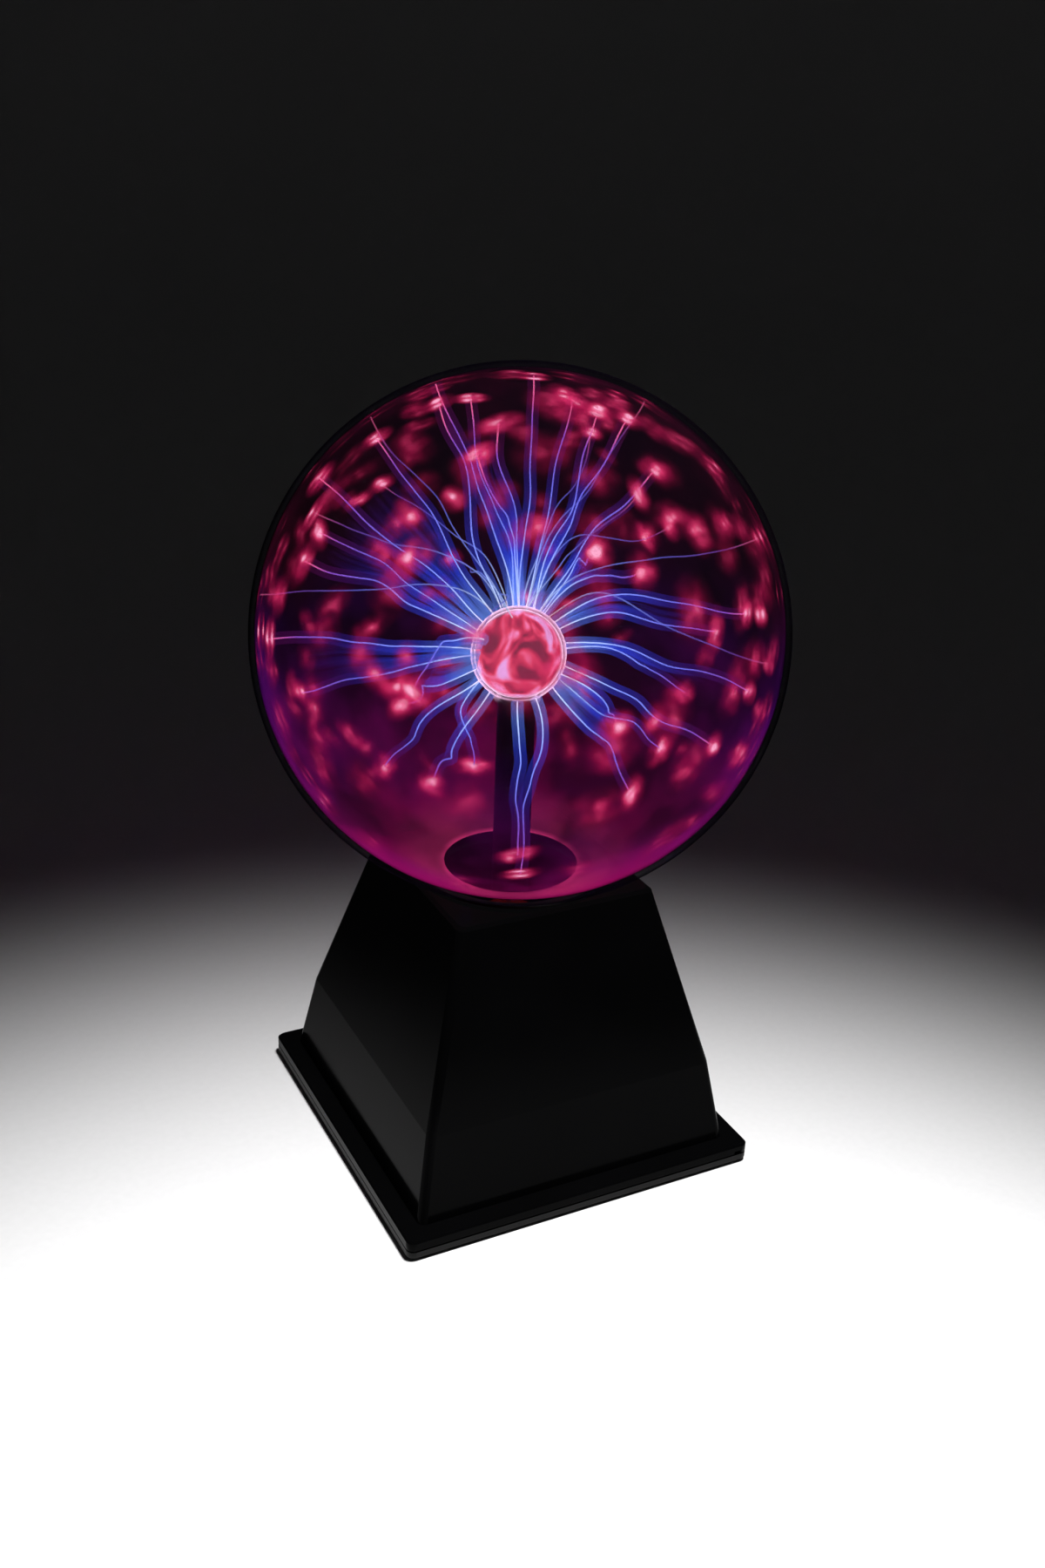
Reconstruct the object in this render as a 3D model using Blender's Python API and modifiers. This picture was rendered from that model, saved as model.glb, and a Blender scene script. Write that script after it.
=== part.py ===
"""Plasma globe: a glass globe with a ball electrode on a tapered square base that holds the driver.

Metres, +Z up. The origin is the centre of the footprint on the surface that the feet stand on.
The front faces -Y. The power inlet and the rocker switch are in the rear skirt, on +Y.
"""
import math

import bmesh
import bpy
from mathutils import Matrix, Vector

MM = 0.001
GAP = 0.3 * MM                      # clearance between pieces that touch on the real object

# Feet and bottom plate
FOOT_RADIUS = 6.0 * MM
FOOT_HEIGHT = 1.9 * MM
FOOT_PLACE = 64.5 * MM
PLATE_BOTTOM = 1.0 * MM
PLATE_TOP = 4.0 * MM
FLANGE_HALF = 74.4 * MM
RIM_HALF = 71.2 * MM
RIM_TOP = 5.6 * MM
FOOT_RECESS = 1.2 * MM
VENT_LENGTH = 26.0 * MM
VENT_WIDTH = 2.6 * MM

# Base shell: half-width at each height
SEAM_Z = 4.6 * MM
LEDGE_Z = 8.5 * MM
SKIRT_HALF = 66.9 * MM
BREAK_HALF = 61.0 * MM
BREAK_Z = 42.3 * MM
DECK_HALF = 41.1 * MM
DECK_Z = 115.0 * MM
SHELL_WALL = 2.5 * MM
CORNER_RADIUS = 3.0 * MM
SEAT_HOLE_RADIUS = 35.0 * MM
SKIRT_TILT = math.atan2(SKIRT_HALF - BREAK_HALF, BREAK_Z - LEDGE_Z)

# Screws
BOSS_RADIUS = 4.0 * MM
COVER_SCREW_PLACE = 56.0 * MM
COVER_BOSS_TOP = 40.0 * MM
COLLAR_SCREW_PLACE = 30.0 * MM
COLLAR_BOSS_BOTTOM = 106.0 * MM
M3_SHANK = 1.4 * MM
M3_HEAD = 3.0 * MM
M3_HOLE = M3_SHANK + GAP

# Globe, electrode and their seat
GLOBE_RADIUS = 100.0 * MM
GLOBE_Z = 209.5 * MM
GLOBE_WALL = 2.2 * MM
NECK_RADIUS = 27.0 * MM
NECK_BOTTOM = 92.0 * MM
NECK_FILLET_START = 31.0 * MM
NECK_STRAIGHT_TOP = 110.5 * MM
BULB_RADIUS = 18.0 * MM
BULB_Z = 202.5 * MM
BULB_WALL = 1.2 * MM
STEM_RADIUS = 9.0 * MM
STEM_WALL = 1.4 * MM
FLARE_Z = 93.0 * MM
COLLAR_BOTTOM = 103.0 * MM
COLLAR_TOP = COLLAR_BOSS_BOTTOM - GAP
COLLAR_HALF = 36.0 * MM
GROMMET_RADIUS = 30.0 * MM
GASKET_RADIUS = 38.5 * MM
LEAD_ENTRY_Z = 84.0 * MM

# Circuit board and what stands on it
BOARD_HALF_X = 50.0 * MM
BOARD_HALF_Y = 40.0 * MM
BOARD_BOTTOM = 14.0 * MM
BOARD_TOP = 15.6 * MM
BOARD_SCREW_X = 44.0 * MM
BOARD_SCREW_Y = 34.0 * MM
ON_BOARD = BOARD_TOP + GAP
CORE_CENTRE = Vector((-12.0 * MM, -10.0 * MM, ON_BOARD))
CORE_WIDTH = 44.0 * MM
CORE_HEIGHT = 40.0 * MM
CORE_LEG = 9.0 * MM
LEG_OFFSET = (CORE_WIDTH - CORE_LEG) / 2
COIL_HOLE = 6.8 * MM
COIL_RADIUS = 15.5 * MM
PRIMARY_RADIUS = 9.5 * MM
SINK_CENTRE = Vector((28.0 * MM, -11.0 * MM, ON_BOARD))
SINK_LENGTH = 34.0 * MM
SINK_HEIGHT = 29.0 * MM
SINK_PLATE = 2.5 * MM
FIN_COUNT = 8
FIN_THICKNESS = 1.5 * MM
FIN_DEPTH = 12.5 * MM
TRANSISTOR_SCREW_Z = 40.0 * MM
TRIMMER_CENTRE = Vector((20.0 * MM, 22.0 * MM, ON_BOARD))
TRIMMER_HEIGHT = 5.0 * MM
ROTOR_RADIUS = 2.5 * MM

# Rear skirt: power inlet and rocker switch, in a frame whose +Z is the skirt's outward normal
CONTROL_Z = 26.0 * MM
INLET_X = -22.0 * MM
SWITCH_X = 22.0 * MM
BARREL_RADIUS = 5.5 * MM
BARREL_LENGTH = 14.0 * MM
SOCKET_RADIUS = 2.9 * MM
PIN_RADIUS = 1.05 * MM
SWITCH_LENGTH = 21.0 * MM
SWITCH_WIDTH = 15.0 * MM
SWITCH_DEPTH = 14.0 * MM
POCKET_LENGTH = 18.2 * MM
POCKET_WIDTH = 11.0 * MM
POCKET_DEPTH = 6.5 * MM
ROCKER_REST_TILT = math.radians(-12.0)
ROCKER_PIVOT_DEPTH = 1.0 * MM

PARTS = None
CUTTERS = None


# ---------------------------------------------------------------- scene, materials and helpers

def clear_scene():
    for item in list(bpy.data.objects):
        bpy.data.objects.remove(item, do_unlink=True)


def new_collection(name):
    collection = bpy.data.collections.new(name)
    bpy.context.scene.collection.children.link(collection)
    return collection


def material(name, colour, roughness, metallic=0.0, transmission=0.0):
    mat = bpy.data.materials.new(name)
    mat.use_nodes = True
    shader = mat.node_tree.nodes["Principled BSDF"]
    shader.inputs["Base Color"].default_value = (*colour, 1.0)
    shader.inputs["Roughness"].default_value = roughness
    shader.inputs["Metallic"].default_value = metallic
    shader.inputs["Transmission Weight"].default_value = transmission
    mat.diffuse_color = (*colour, 1.0)
    return mat


def add_part(name, data, finish):
    """Link mesh or curve data as a named piece with its own material."""
    piece = bpy.data.objects.new(name, data)
    PARTS.objects.link(piece)
    data.materials.append(material(name + "_finish", *finish))
    return piece


def mesh_from(bm, name):
    """Turn a bmesh into a mesh whose faces look outwards; an open skin's last face looks up."""
    bmesh.ops.recalc_face_normals(bm, faces=bm.faces[:])
    bm.faces.ensure_lookup_table()
    is_open = any(edge.is_boundary for edge in bm.edges)
    if is_open and bm.faces[-1].normal.z < 0.0:
        bmesh.ops.reverse_faces(bm, faces=bm.faces[:])
    mesh = bpy.data.meshes.new(name)
    bm.to_mesh(mesh)
    bm.free()
    return mesh


def add_box(bm, size, centre):
    """Add a box of the given size to a bmesh."""
    place = Matrix.Translation(centre) @ Matrix.Diagonal((*size, 1.0))
    bmesh.ops.create_cube(bm, size=1.0, matrix=place)


def add_cylinder(bm, radius, bottom, top, x=0.0, y=0.0, sides=20):
    """Add an upright cylinder between two heights to a bmesh."""
    place = Matrix.Translation((x, y, (bottom + top) / 2))
    bmesh.ops.create_cone(bm, cap_ends=True, segments=sides, radius1=radius, radius2=radius,
                          depth=top - bottom, matrix=place)


def boolean(piece, bm, operation):
    """Cut a bmesh from a piece or join it on, with a hidden helper object."""
    helper_mesh = mesh_from(bm, piece.name + "_helper")
    helper = bpy.data.objects.new(piece.name + "_helper", helper_mesh)
    CUTTERS.objects.link(helper)
    helper.hide_render = True
    helper.display_type = "WIRE"
    helper.matrix_world = piece.matrix_world
    modifier = piece.modifiers.new(operation.title(), "BOOLEAN")
    modifier.operation = operation
    modifier.solver = "EXACT"
    modifier.object = helper
    return helper


def bevel(piece, width, segments=1, angle=40.0):
    modifier = piece.modifiers.new("Bevel", "BEVEL")
    modifier.width = width
    modifier.segments = segments
    modifier.limit_method = "ANGLE"
    modifier.angle_limit = math.radians(angle)


def box_part(name, size, centre, finish, edge=0.0):
    bm = bmesh.new()
    add_box(bm, size, centre)
    piece = add_part(name, mesh_from(bm, name), finish)
    if edge:
        bevel(piece, edge)
    return piece


def turned(name, profile, finish, steps=24, closed=False, smooth=True):
    """A turned piece: a profile of (radius, height) points swept round Z by a Screw modifier."""
    mesh = bpy.data.meshes.new(name)
    count = len(profile)
    edges = [(i, i + 1) for i in range(count - 1)]
    if closed:
        edges.append((count - 1, 0))
    mesh.from_pydata([(radius, 0.0, height) for radius, height in profile], edges, [])
    piece = add_part(name, mesh, finish)
    modifier = piece.modifiers.new("Screw", "SCREW")
    modifier.axis = "Z"
    modifier.angle = math.tau
    modifier.steps = steps
    modifier.render_steps = steps
    modifier.use_merge_vertices = True
    modifier.merge_threshold = 0.00001
    modifier.use_smooth_shade = smooth
    return piece


def arc(centre_z, radius, start, end, count):
    """Profile points on a circle about the axis; angles are measured from straight up."""
    angles = [start + (end - start) * i / (count - 1) for i in range(count)]
    return [(radius * math.sin(a), centre_z + radius * math.cos(a)) for a in angles]


def rounded_square(half, radius, arc_steps=4):
    """Corner points of a square with rounded corners, anticlockwise."""
    points = []
    for quarter in range(4):
        middle = math.radians(45 + 90 * quarter)
        corner = Vector((math.copysign(half - radius, math.cos(middle)),
                         math.copysign(half - radius, math.sin(middle))))
        for step in range(arc_steps + 1):
            angle = math.radians(90 * quarter + 90 * step / arc_steps)
            points.append(corner + radius * Vector((math.cos(angle), math.sin(angle))))
    return points


def loft(bm, sections, radius, cap_first, cap_last):
    """Extrude a rounded square through (half-width, height) sections, with flat caps where asked."""
    place = bm.verts.layers.int.new("place_in_ring")
    half, height = sections[0]
    verts = [bm.verts.new((p.x, p.y, height)) for p in rounded_square(half, radius)]
    for number, vert in enumerate(verts):
        vert[place] = number
    ring = [bm.edges.new((verts[i - 1], verts[i])) for i in range(len(verts))]
    if cap_first:
        bmesh.ops.contextual_create(bm, geom=ring)
    for half, height in sections[1:]:
        outline = rounded_square(half, radius)
        grown = bmesh.ops.extrude_edge_only(bm, edges=ring)["geom"]
        ring = [item for item in grown if isinstance(item, bmesh.types.BMEdge)]
        for vert in (item for item in grown if isinstance(item, bmesh.types.BMVert)):
            point = outline[vert[place]]
            vert.co = (point.x, point.y, height)
    if cap_last:
        bmesh.ops.contextual_create(bm, geom=ring)


def smooth_route(points, spacing):
    """Points at about one spacing along a Catmull-Rom curve through the route's own points."""
    ends = [points[0] * 2 - points[1]] + points + [points[-1] * 2 - points[-2]]
    route = []
    for p0, p1, p2, p3 in zip(ends, ends[1:], ends[2:], ends[3:]):
        steps = max(1, round((p2 - p1).length / spacing))
        for step in range(steps):
            t = step / steps
            route.append(0.5 * (2 * p1 + (p2 - p0) * t + (2 * p0 - 5 * p1 + 4 * p2 - p3) * t ** 2
                                + (3 * p1 - p0 - 3 * p2 + p3) * t ** 3))
    route.append(points[-1])
    return route


def wire_part(name, points, radius, finish):
    """A round wire through hand-placed points, given in millimetres."""
    route = smooth_route([Vector(p) * MM for p in points], 2.5 * radius)
    curve = bpy.data.curves.new(name, "CURVE")
    curve.dimensions = "3D"
    curve.bevel_depth = radius
    curve.bevel_resolution = 2
    curve.use_fill_caps = True
    spline = curve.splines.new("POLY")
    spline.points.add(len(route) - 1)
    for point, place in zip(spline.points, route):
        point.co = (*place, 1.0)
    return add_part(name, curve, finish)


def screw_part(name, place, shank_length, finish, head=M3_HEAD, shank=M3_SHANK, head_height=1.6 * MM):
    """A cross-head screw whose head faces +Z in its own frame; the origin is under the head."""
    profile = [(0.0, head_height), (head * 0.75, head_height), (head, head_height * 0.45), (head, 0.0),
               (shank, 0.0), (shank, -shank_length + shank * 0.5), (shank * 0.5, -shank_length),
               (0.0, -shank_length)]
    screw = turned(name, profile, finish, steps=14, smooth=False)
    screw.matrix_world = place
    for size in ((head * 1.1, head * 0.25), (head * 0.25, head * 1.1)):
        slot = bmesh.new()
        add_box(slot, (*size, head_height), (0, 0, head_height))
        boolean(screw, slot, "DIFFERENCE")
    return screw


def corners(x, y):
    return [(x, y), (-x, y), (-x, -y), (x, -y)]


# ---------------------------------------------------------------- base

BLACK_PLASTIC = ((0.006, 0.006, 0.007), 0.16)
MOULDED_BLACK = ((0.012, 0.012, 0.013), 0.45)
RUBBER = ((0.02, 0.02, 0.02), 0.85)
ZINC = ((0.55, 0.55, 0.56), 0.32, 1.0)


def build_feet():
    for number, (x, y) in enumerate(corners(FOOT_PLACE, FOOT_PLACE), 1):
        profile = [(0.0, FOOT_HEIGHT), (FOOT_RADIUS, FOOT_HEIGHT), (FOOT_RADIUS, FOOT_HEIGHT * 0.4),
                   (FOOT_RADIUS * 0.9, 0.0), (0.0, 0.0)]
        foot = turned(f"foot_{number}", profile, RUBBER, steps=20, smooth=False)
        foot.location = (x, y, 0.0)


def build_bottom_plate():
    bm = bmesh.new()
    edge = 0.5 * MM
    rim_inner = RIM_HALF - 2.0 * MM
    sections = [(FLANGE_HALF - edge, PLATE_BOTTOM), (FLANGE_HALF, PLATE_BOTTOM + edge),
                (FLANGE_HALF, PLATE_TOP), (RIM_HALF, PLATE_TOP), (RIM_HALF, RIM_TOP),
                (rim_inner, RIM_TOP), (rim_inner, PLATE_TOP)]
    loft(bm, sections, CORNER_RADIUS, cap_first=True, cap_last=True)
    plate = add_part("bottom_plate", mesh_from(bm, "bottom_plate"), MOULDED_BLACK)

    posts = bmesh.new()
    for x, y in corners(BOARD_SCREW_X, BOARD_SCREW_Y):
        add_cylinder(posts, 3.5 * MM, PLATE_TOP - 1 * MM, BOARD_BOTTOM - GAP, x, y)
    boolean(plate, posts, "UNION")

    holes = bmesh.new()
    for x, y in corners(FOOT_PLACE, FOOT_PLACE):
        add_cylinder(holes, FOOT_RADIUS + GAP, 0.0, PLATE_BOTTOM + FOOT_RECESS, x, y)
    for x, y in corners(BOARD_SCREW_X, BOARD_SCREW_Y):
        add_cylinder(holes, 1.5 * MM, 6.0 * MM, BOARD_BOTTOM, x, y, sides=14)
    boolean(plate, holes, "DIFFERENCE")

    through = bmesh.new()
    for x, y in corners(COVER_SCREW_PLACE, COVER_SCREW_PLACE):
        add_cylinder(through, M3_HOLE, 0.0, PLATE_TOP + 1 * MM, x, y, sides=14)
    for row in range(5):
        for side in (-1, 1):
            centre = (side * 18.0 * MM, (row - 2) * 9.0 * MM, PLATE_TOP / 2)
            add_box(through, (VENT_LENGTH, VENT_WIDTH, PLATE_TOP * 2), centre)
    boolean(plate, through, "DIFFERENCE")

    sinks = bmesh.new()
    for x, y in corners(COVER_SCREW_PLACE, COVER_SCREW_PLACE):
        add_cylinder(sinks, M3_HEAD + 2 * GAP, 0.0, 2.8 * MM, x, y)
    boolean(plate, sinks, "DIFFERENCE")
    return plate


def skirt_frame(x):
    """The frame on the rear skirt's outer face at the controls' height, +Z along its normal."""
    depth = SKIRT_HALF - (CONTROL_Z - LEDGE_Z) * math.tan(SKIRT_TILT)
    turn = Matrix.Rotation(-(math.pi / 2 - SKIRT_TILT), 4, "X")
    return Matrix.Translation((x, depth, CONTROL_Z)) @ turn


def build_base_housing():
    bm = bmesh.new()
    edge = 1.2 * MM
    slope = (BREAK_HALF - DECK_HALF) / (DECK_Z - BREAK_Z)
    sections = [(FLANGE_HALF, SEAM_Z), (FLANGE_HALF, LEDGE_Z - 0.7 * MM),
                (FLANGE_HALF - 0.7 * MM, LEDGE_Z), (SKIRT_HALF, LEDGE_Z), (BREAK_HALF, BREAK_Z),
                (DECK_HALF + edge * slope, DECK_Z - edge), (DECK_HALF - edge, DECK_Z)]
    loft(bm, sections, CORNER_RADIUS, cap_first=False, cap_last=True)
    housing = add_part("base_housing", mesh_from(bm, "base_housing"), BLACK_PLASTIC)
    shell = housing.modifiers.new("Wall", "SOLIDIFY")
    shell.thickness = SHELL_WALL
    shell.offset = -1.0
    shell.use_even_offset = True

    bosses = bmesh.new()
    for x, y in corners(COVER_SCREW_PLACE, COVER_SCREW_PLACE):
        add_cylinder(bosses, BOSS_RADIUS, SEAM_Z, COVER_BOSS_TOP, x, y)
    for x, y in corners(COLLAR_SCREW_PLACE, COLLAR_SCREW_PLACE):
        add_cylinder(bosses, BOSS_RADIUS, COLLAR_BOSS_BOTTOM, DECK_Z - 1 * MM, x, y)
    boolean(housing, bosses, "UNION")

    holes = bmesh.new()
    for x, y in corners(COVER_SCREW_PLACE, COVER_SCREW_PLACE):
        add_cylinder(holes, M3_HOLE, 0.0, 22.0 * MM, x, y, sides=14)
    for x, y in corners(COLLAR_SCREW_PLACE, COLLAR_SCREW_PLACE):
        add_cylinder(holes, M3_HOLE, COLLAR_BOSS_BOTTOM - 1 * MM, DECK_Z - SHELL_WALL, x, y, sides=14)
    add_cylinder(holes, SEAT_HOLE_RADIUS, DECK_Z - 2 * SHELL_WALL, DECK_Z + 1 * MM, sides=64)
    boolean(housing, holes, "DIFFERENCE")

    openings = bmesh.new()
    add_cylinder(openings, BARREL_RADIUS + GAP, -2 * SHELL_WALL, SHELL_WALL, sides=24)
    openings.transform(skirt_frame(INLET_X))
    slot = bmesh.new()
    cut_size = (SWITCH_WIDTH - 2 * MM + 2 * GAP, SWITCH_LENGTH - 2 * MM + 2 * GAP, 4 * SHELL_WALL)
    add_box(slot, cut_size, (0, 0, 0))
    slot.transform(skirt_frame(SWITCH_X))
    boolean(housing, openings, "DIFFERENCE")
    boolean(housing, slot, "DIFFERENCE")

    notch = bmesh.new()
    add_box(notch, (3.0 * MM, 3.0 * MM, 2.4 * MM), (FLANGE_HALF - 5.0 * MM, -FLANGE_HALF, SEAM_Z))
    boolean(housing, notch, "DIFFERENCE")
    return housing


def build_cover_screws():
    flip = Matrix.Rotation(math.pi, 4, "X")
    for number, (x, y) in enumerate(corners(COVER_SCREW_PLACE, COVER_SCREW_PLACE), 1):
        place = Matrix.Translation((x, y, 2.8 * MM - GAP)) @ flip
        screw_part(f"cover_screw_{number}", place, 15.0 * MM, ZINC, head_height=1.4 * MM)


# ---------------------------------------------------------------- globe and electrode

GLASS = ((0.9, 0.92, 0.95), 0.02, 0.0, 1.0)


def build_globe():
    """Sphere and neck as one blown glass shell, open at the neck's lower end."""
    def skin(radius, fillet_radius, neck_radius, count):
        end = math.pi - math.asin(fillet_radius / radius)
        points = arc(GLOBE_Z, radius, 0.0, end, count)
        start = points[-1]
        steps = 4
        for step in range(1, steps + 1):
            turn = math.pi / 2 * step / steps
            points.append((start[0] - (start[0] - neck_radius) * math.sin(turn),
                           start[1] - (start[1] - NECK_STRAIGHT_TOP) * (1 - math.cos(turn))))
        return points

    inner_radius = GLOBE_RADIUS - GLOBE_WALL
    outer = skin(GLOBE_RADIUS, NECK_FILLET_START, NECK_RADIUS, 21)
    inner = skin(inner_radius, NECK_FILLET_START - GLOBE_WALL, NECK_RADIUS - GLOBE_WALL, 21)
    ends = [(NECK_RADIUS, NECK_BOTTOM), (NECK_RADIUS - GLOBE_WALL, NECK_BOTTOM)]
    return turned("glass_globe", outer + ends + inner[::-1], GLASS, steps=40)


def build_electrode_bulb():
    """Small bulb on a stem that flares to the neck, one re-entrant glass tube."""
    outer_end = math.pi - math.asin(STEM_RADIUS / BULB_RADIUS)
    inner_radius = BULB_RADIUS - BULB_WALL
    stem_inner = STEM_RADIUS - STEM_WALL
    inner_end = math.pi - math.asin(stem_inner / inner_radius)
    flare_radius = NECK_RADIUS - GLOBE_WALL - GAP
    outer = arc(BULB_Z, BULB_RADIUS, 0.0, outer_end, 13)
    outer += [(STEM_RADIUS, FLARE_Z + 9 * MM), (STEM_RADIUS + 1.2 * MM, FLARE_Z + 5 * MM),
              (STEM_RADIUS + 5 * MM, FLARE_Z + 2.4 * MM), (flare_radius, FLARE_Z + 1.6 * MM)]
    inner = [(flare_radius, FLARE_Z), (STEM_RADIUS + 4 * MM, FLARE_Z + 0.8 * MM),
             (stem_inner + 1.2 * MM, FLARE_Z + 4 * MM), (stem_inner, FLARE_Z + 8 * MM)]
    inner += arc(BULB_Z, inner_radius, inner_end, 0.0, 13)
    return turned("electrode_bulb", outer + inner, GLASS, steps=28)


def build_electrode_core():
    wool_radius = BULB_RADIUS - BULB_WALL - 2 * GAP
    turned("electrode_wool", arc(BULB_Z, wool_radius, 0.0, math.pi, 13),
           ((0.75, 0.35, 0.5), 0.5), steps=24)
    outer = STEM_RADIUS - STEM_WALL - GAP
    top = BULB_Z - wool_radius - 2 * GAP
    bottom = FLARE_Z + 9 * MM
    sleeve = [(outer, top), (outer, bottom), (3 * MM, bottom), (3 * MM, top)]
    turned("stem_sleeve", sleeve, ((0.004, 0.004, 0.005), 0.5), steps=24, closed=True, smooth=False)
    rod_bottom = LEAD_ENTRY_Z + 2 * GAP
    rod = [(0.0, top), (1 * MM, top), (1 * MM, rod_bottom), (0.0, rod_bottom)]
    turned("electrode_rod", rod, ((0.62, 0.45, 0.2), 0.3, 1.0), steps=12, smooth=False)


def build_seat():
    """Gasket in the deck's hole, sleeve round the neck, clamp plate and its screws."""
    def under_globe(radius):
        return GLOBE_Z - math.sqrt(GLOBE_RADIUS ** 2 - radius ** 2) - 1.5 * GAP

    through = SEAT_HOLE_RADIUS - GAP
    inner = 32.4 * MM
    deck = DECK_Z + GAP
    gasket = [(GASKET_RADIUS, deck + 1.2 * MM), (GASKET_RADIUS, deck), (through, deck),
              (through, DECK_Z - SHELL_WALL), (inner, DECK_Z - SHELL_WALL), (inner, under_globe(inner)),
              (through, under_globe(through))]
    turned("seat_gasket", gasket, RUBBER, steps=48, closed=True, smooth=False)

    bore = NECK_RADIUS + GAP
    grommet = [(GROMMET_RADIUS, NECK_STRAIGHT_TOP - GAP), (GROMMET_RADIUS, 98 * MM), (bore, 98 * MM),
               (bore, NECK_STRAIGHT_TOP - GAP)]
    turned("neck_grommet", grommet, RUBBER, steps=40, closed=True, smooth=False)

    bm = bmesh.new()
    loft(bm, [(COLLAR_HALF, COLLAR_BOTTOM), (COLLAR_HALF, COLLAR_TOP)], 6 * MM, True, True)
    collar = add_part("neck_collar", mesh_from(bm, "neck_collar"), MOULDED_BLACK)
    holes = bmesh.new()
    add_cylinder(holes, GROMMET_RADIUS + GAP, 0.0, 1.0, sides=40)
    for x, y in corners(COLLAR_SCREW_PLACE, COLLAR_SCREW_PLACE):
        add_cylinder(holes, M3_HOLE, COLLAR_BOTTOM - 1 * MM, COLLAR_TOP + 1 * MM, x, y, sides=14)
    boolean(collar, holes, "DIFFERENCE")

    flip = Matrix.Rotation(math.pi, 4, "X")
    for number, (x, y) in enumerate(corners(COLLAR_SCREW_PLACE, COLLAR_SCREW_PLACE), 1):
        place = Matrix.Translation((x, y, COLLAR_BOTTOM - GAP)) @ flip
        screw_part(f"collar_screw_{number}", place, 9.0 * MM, ZINC)


def build_high_voltage_feed():
    top = FLARE_Z - GAP
    boot = [(11 * MM, top), (11 * MM, 88 * MM), (5 * MM, 82 * MM), (4.4 * MM, 79 * MM),
            (2 * MM, 79 * MM), (2 * MM, LEAD_ENTRY_Z + GAP), (1.4 * MM, LEAD_ENTRY_Z + GAP),
            (1.4 * MM, top)]
    turned("hv_boot", boot, ((0.35, 0.02, 0.02), 0.6), steps=24, closed=True)
    coil_x = (CORE_CENTRE.x - LEG_OFFSET) / MM
    points = [(coil_x, 2.0, 47.2), (coil_x, 2.2, 52.0), (coil_x + 3, 4.0, 60.0), (-17.0, 6.0, 68.0),
              (-6.0, 3.0, 71.5), (-0.6, 0.4, 74.6), (0.0, 0.0, 78.0), (0.0, 0.0, LEAD_ENTRY_Z / MM)]
    wire_part("hv_lead", points, 1.6 * MM, ((0.4, 0.02, 0.02), 0.45))


# ---------------------------------------------------------------- driver board

FERRITE = ((0.03, 0.03, 0.032), 0.5)


def build_board():
    size = (2 * BOARD_HALF_X, 2 * BOARD_HALF_Y, BOARD_TOP - BOARD_BOTTOM)
    board = box_part("circuit_board", size, (0, 0, (BOARD_TOP + BOARD_BOTTOM) / 2),
                     ((0.02, 0.12, 0.05), 0.4))
    holes = bmesh.new()
    for x, y in corners(BOARD_SCREW_X, BOARD_SCREW_Y):
        add_cylinder(holes, 1.5 * MM, BOARD_BOTTOM - 1 * MM, BOARD_TOP + 1 * MM, x, y, sides=14)
    boolean(board, holes, "DIFFERENCE")
    for number, (x, y) in enumerate(corners(BOARD_SCREW_X, BOARD_SCREW_Y), 1):
        place = Matrix.Translation((x, y, ON_BOARD))
        screw_part(f"board_screw_{number}", place, 8.5 * MM, ZINC, head=2.6 * MM, shank=1.2 * MM)


def build_transformer():
    """Two U cores face to face, the potted secondary on one leg and the primary on the other."""
    half = CORE_HEIGHT / 2 - GAP / 2
    window = (CORE_WIDTH - 2 * CORE_LEG, 2 * CORE_LEG, 2 * (half - CORE_LEG))
    for name, middle, side in (("core_lower", half / 2, 1), ("core_upper", CORE_HEIGHT - half / 2, -1)):
        centre = CORE_CENTRE + Vector((0, 0, middle))
        core = box_part(name, (CORE_WIDTH, CORE_LEG, half), centre, FERRITE)
        gap = bmesh.new()
        add_box(gap, window, centre + Vector((0, 0, side * half / 2)))
        boolean(core, gap, "DIFFERENCE")

    window_bottom = CORE_CENTRE.z + CORE_LEG + GAP
    window_top = CORE_CENTRE.z + CORE_HEIGHT - CORE_LEG - GAP
    edge = 1.0 * MM
    coil = [(COIL_RADIUS - edge, window_top), (COIL_RADIUS, window_top - edge),
            (COIL_RADIUS, window_bottom + edge), (COIL_RADIUS - edge, window_bottom),
            (COIL_HOLE, window_bottom), (COIL_HOLE, window_top)]
    secondary = turned("hv_coil", coil, ((0.01, 0.012, 0.02), 0.25), steps=32, closed=True, smooth=False)
    secondary.location = (CORE_CENTRE.x - LEG_OFFSET, CORE_CENTRE.y, 0)
    wire = 1.5 * MM
    rows = [(PRIMARY_RADIUS, window_top - 2 * MM), (PRIMARY_RADIUS, window_bottom + 2 * MM),
            (PRIMARY_RADIUS - wire, window_bottom + 1 * MM), (COIL_HOLE, window_bottom + 1 * MM),
            (COIL_HOLE, window_top - 1 * MM), (PRIMARY_RADIUS - wire, window_top - 1 * MM)]
    primary = turned("primary_winding", rows, ((0.55, 0.2, 0.06), 0.35, 0.8), steps=28, closed=True,
                     smooth=False)
    primary.location = (CORE_CENTRE.x + LEG_OFFSET, CORE_CENTRE.y, 0)

    strap = 0.8 * MM
    height = CORE_HEIGHT + GAP + strap
    place = CORE_CENTRE + Vector((2 * MM, 0, height / 2))
    clip = box_part("core_clip", (7 * MM, CORE_LEG + 2 * (GAP + strap), height), place, ZINC)
    inside = bmesh.new()
    add_box(inside, (9 * MM, CORE_LEG + 2 * GAP, height), place - Vector((0, 0, strap)))
    boolean(clip, inside, "DIFFERENCE")


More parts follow.
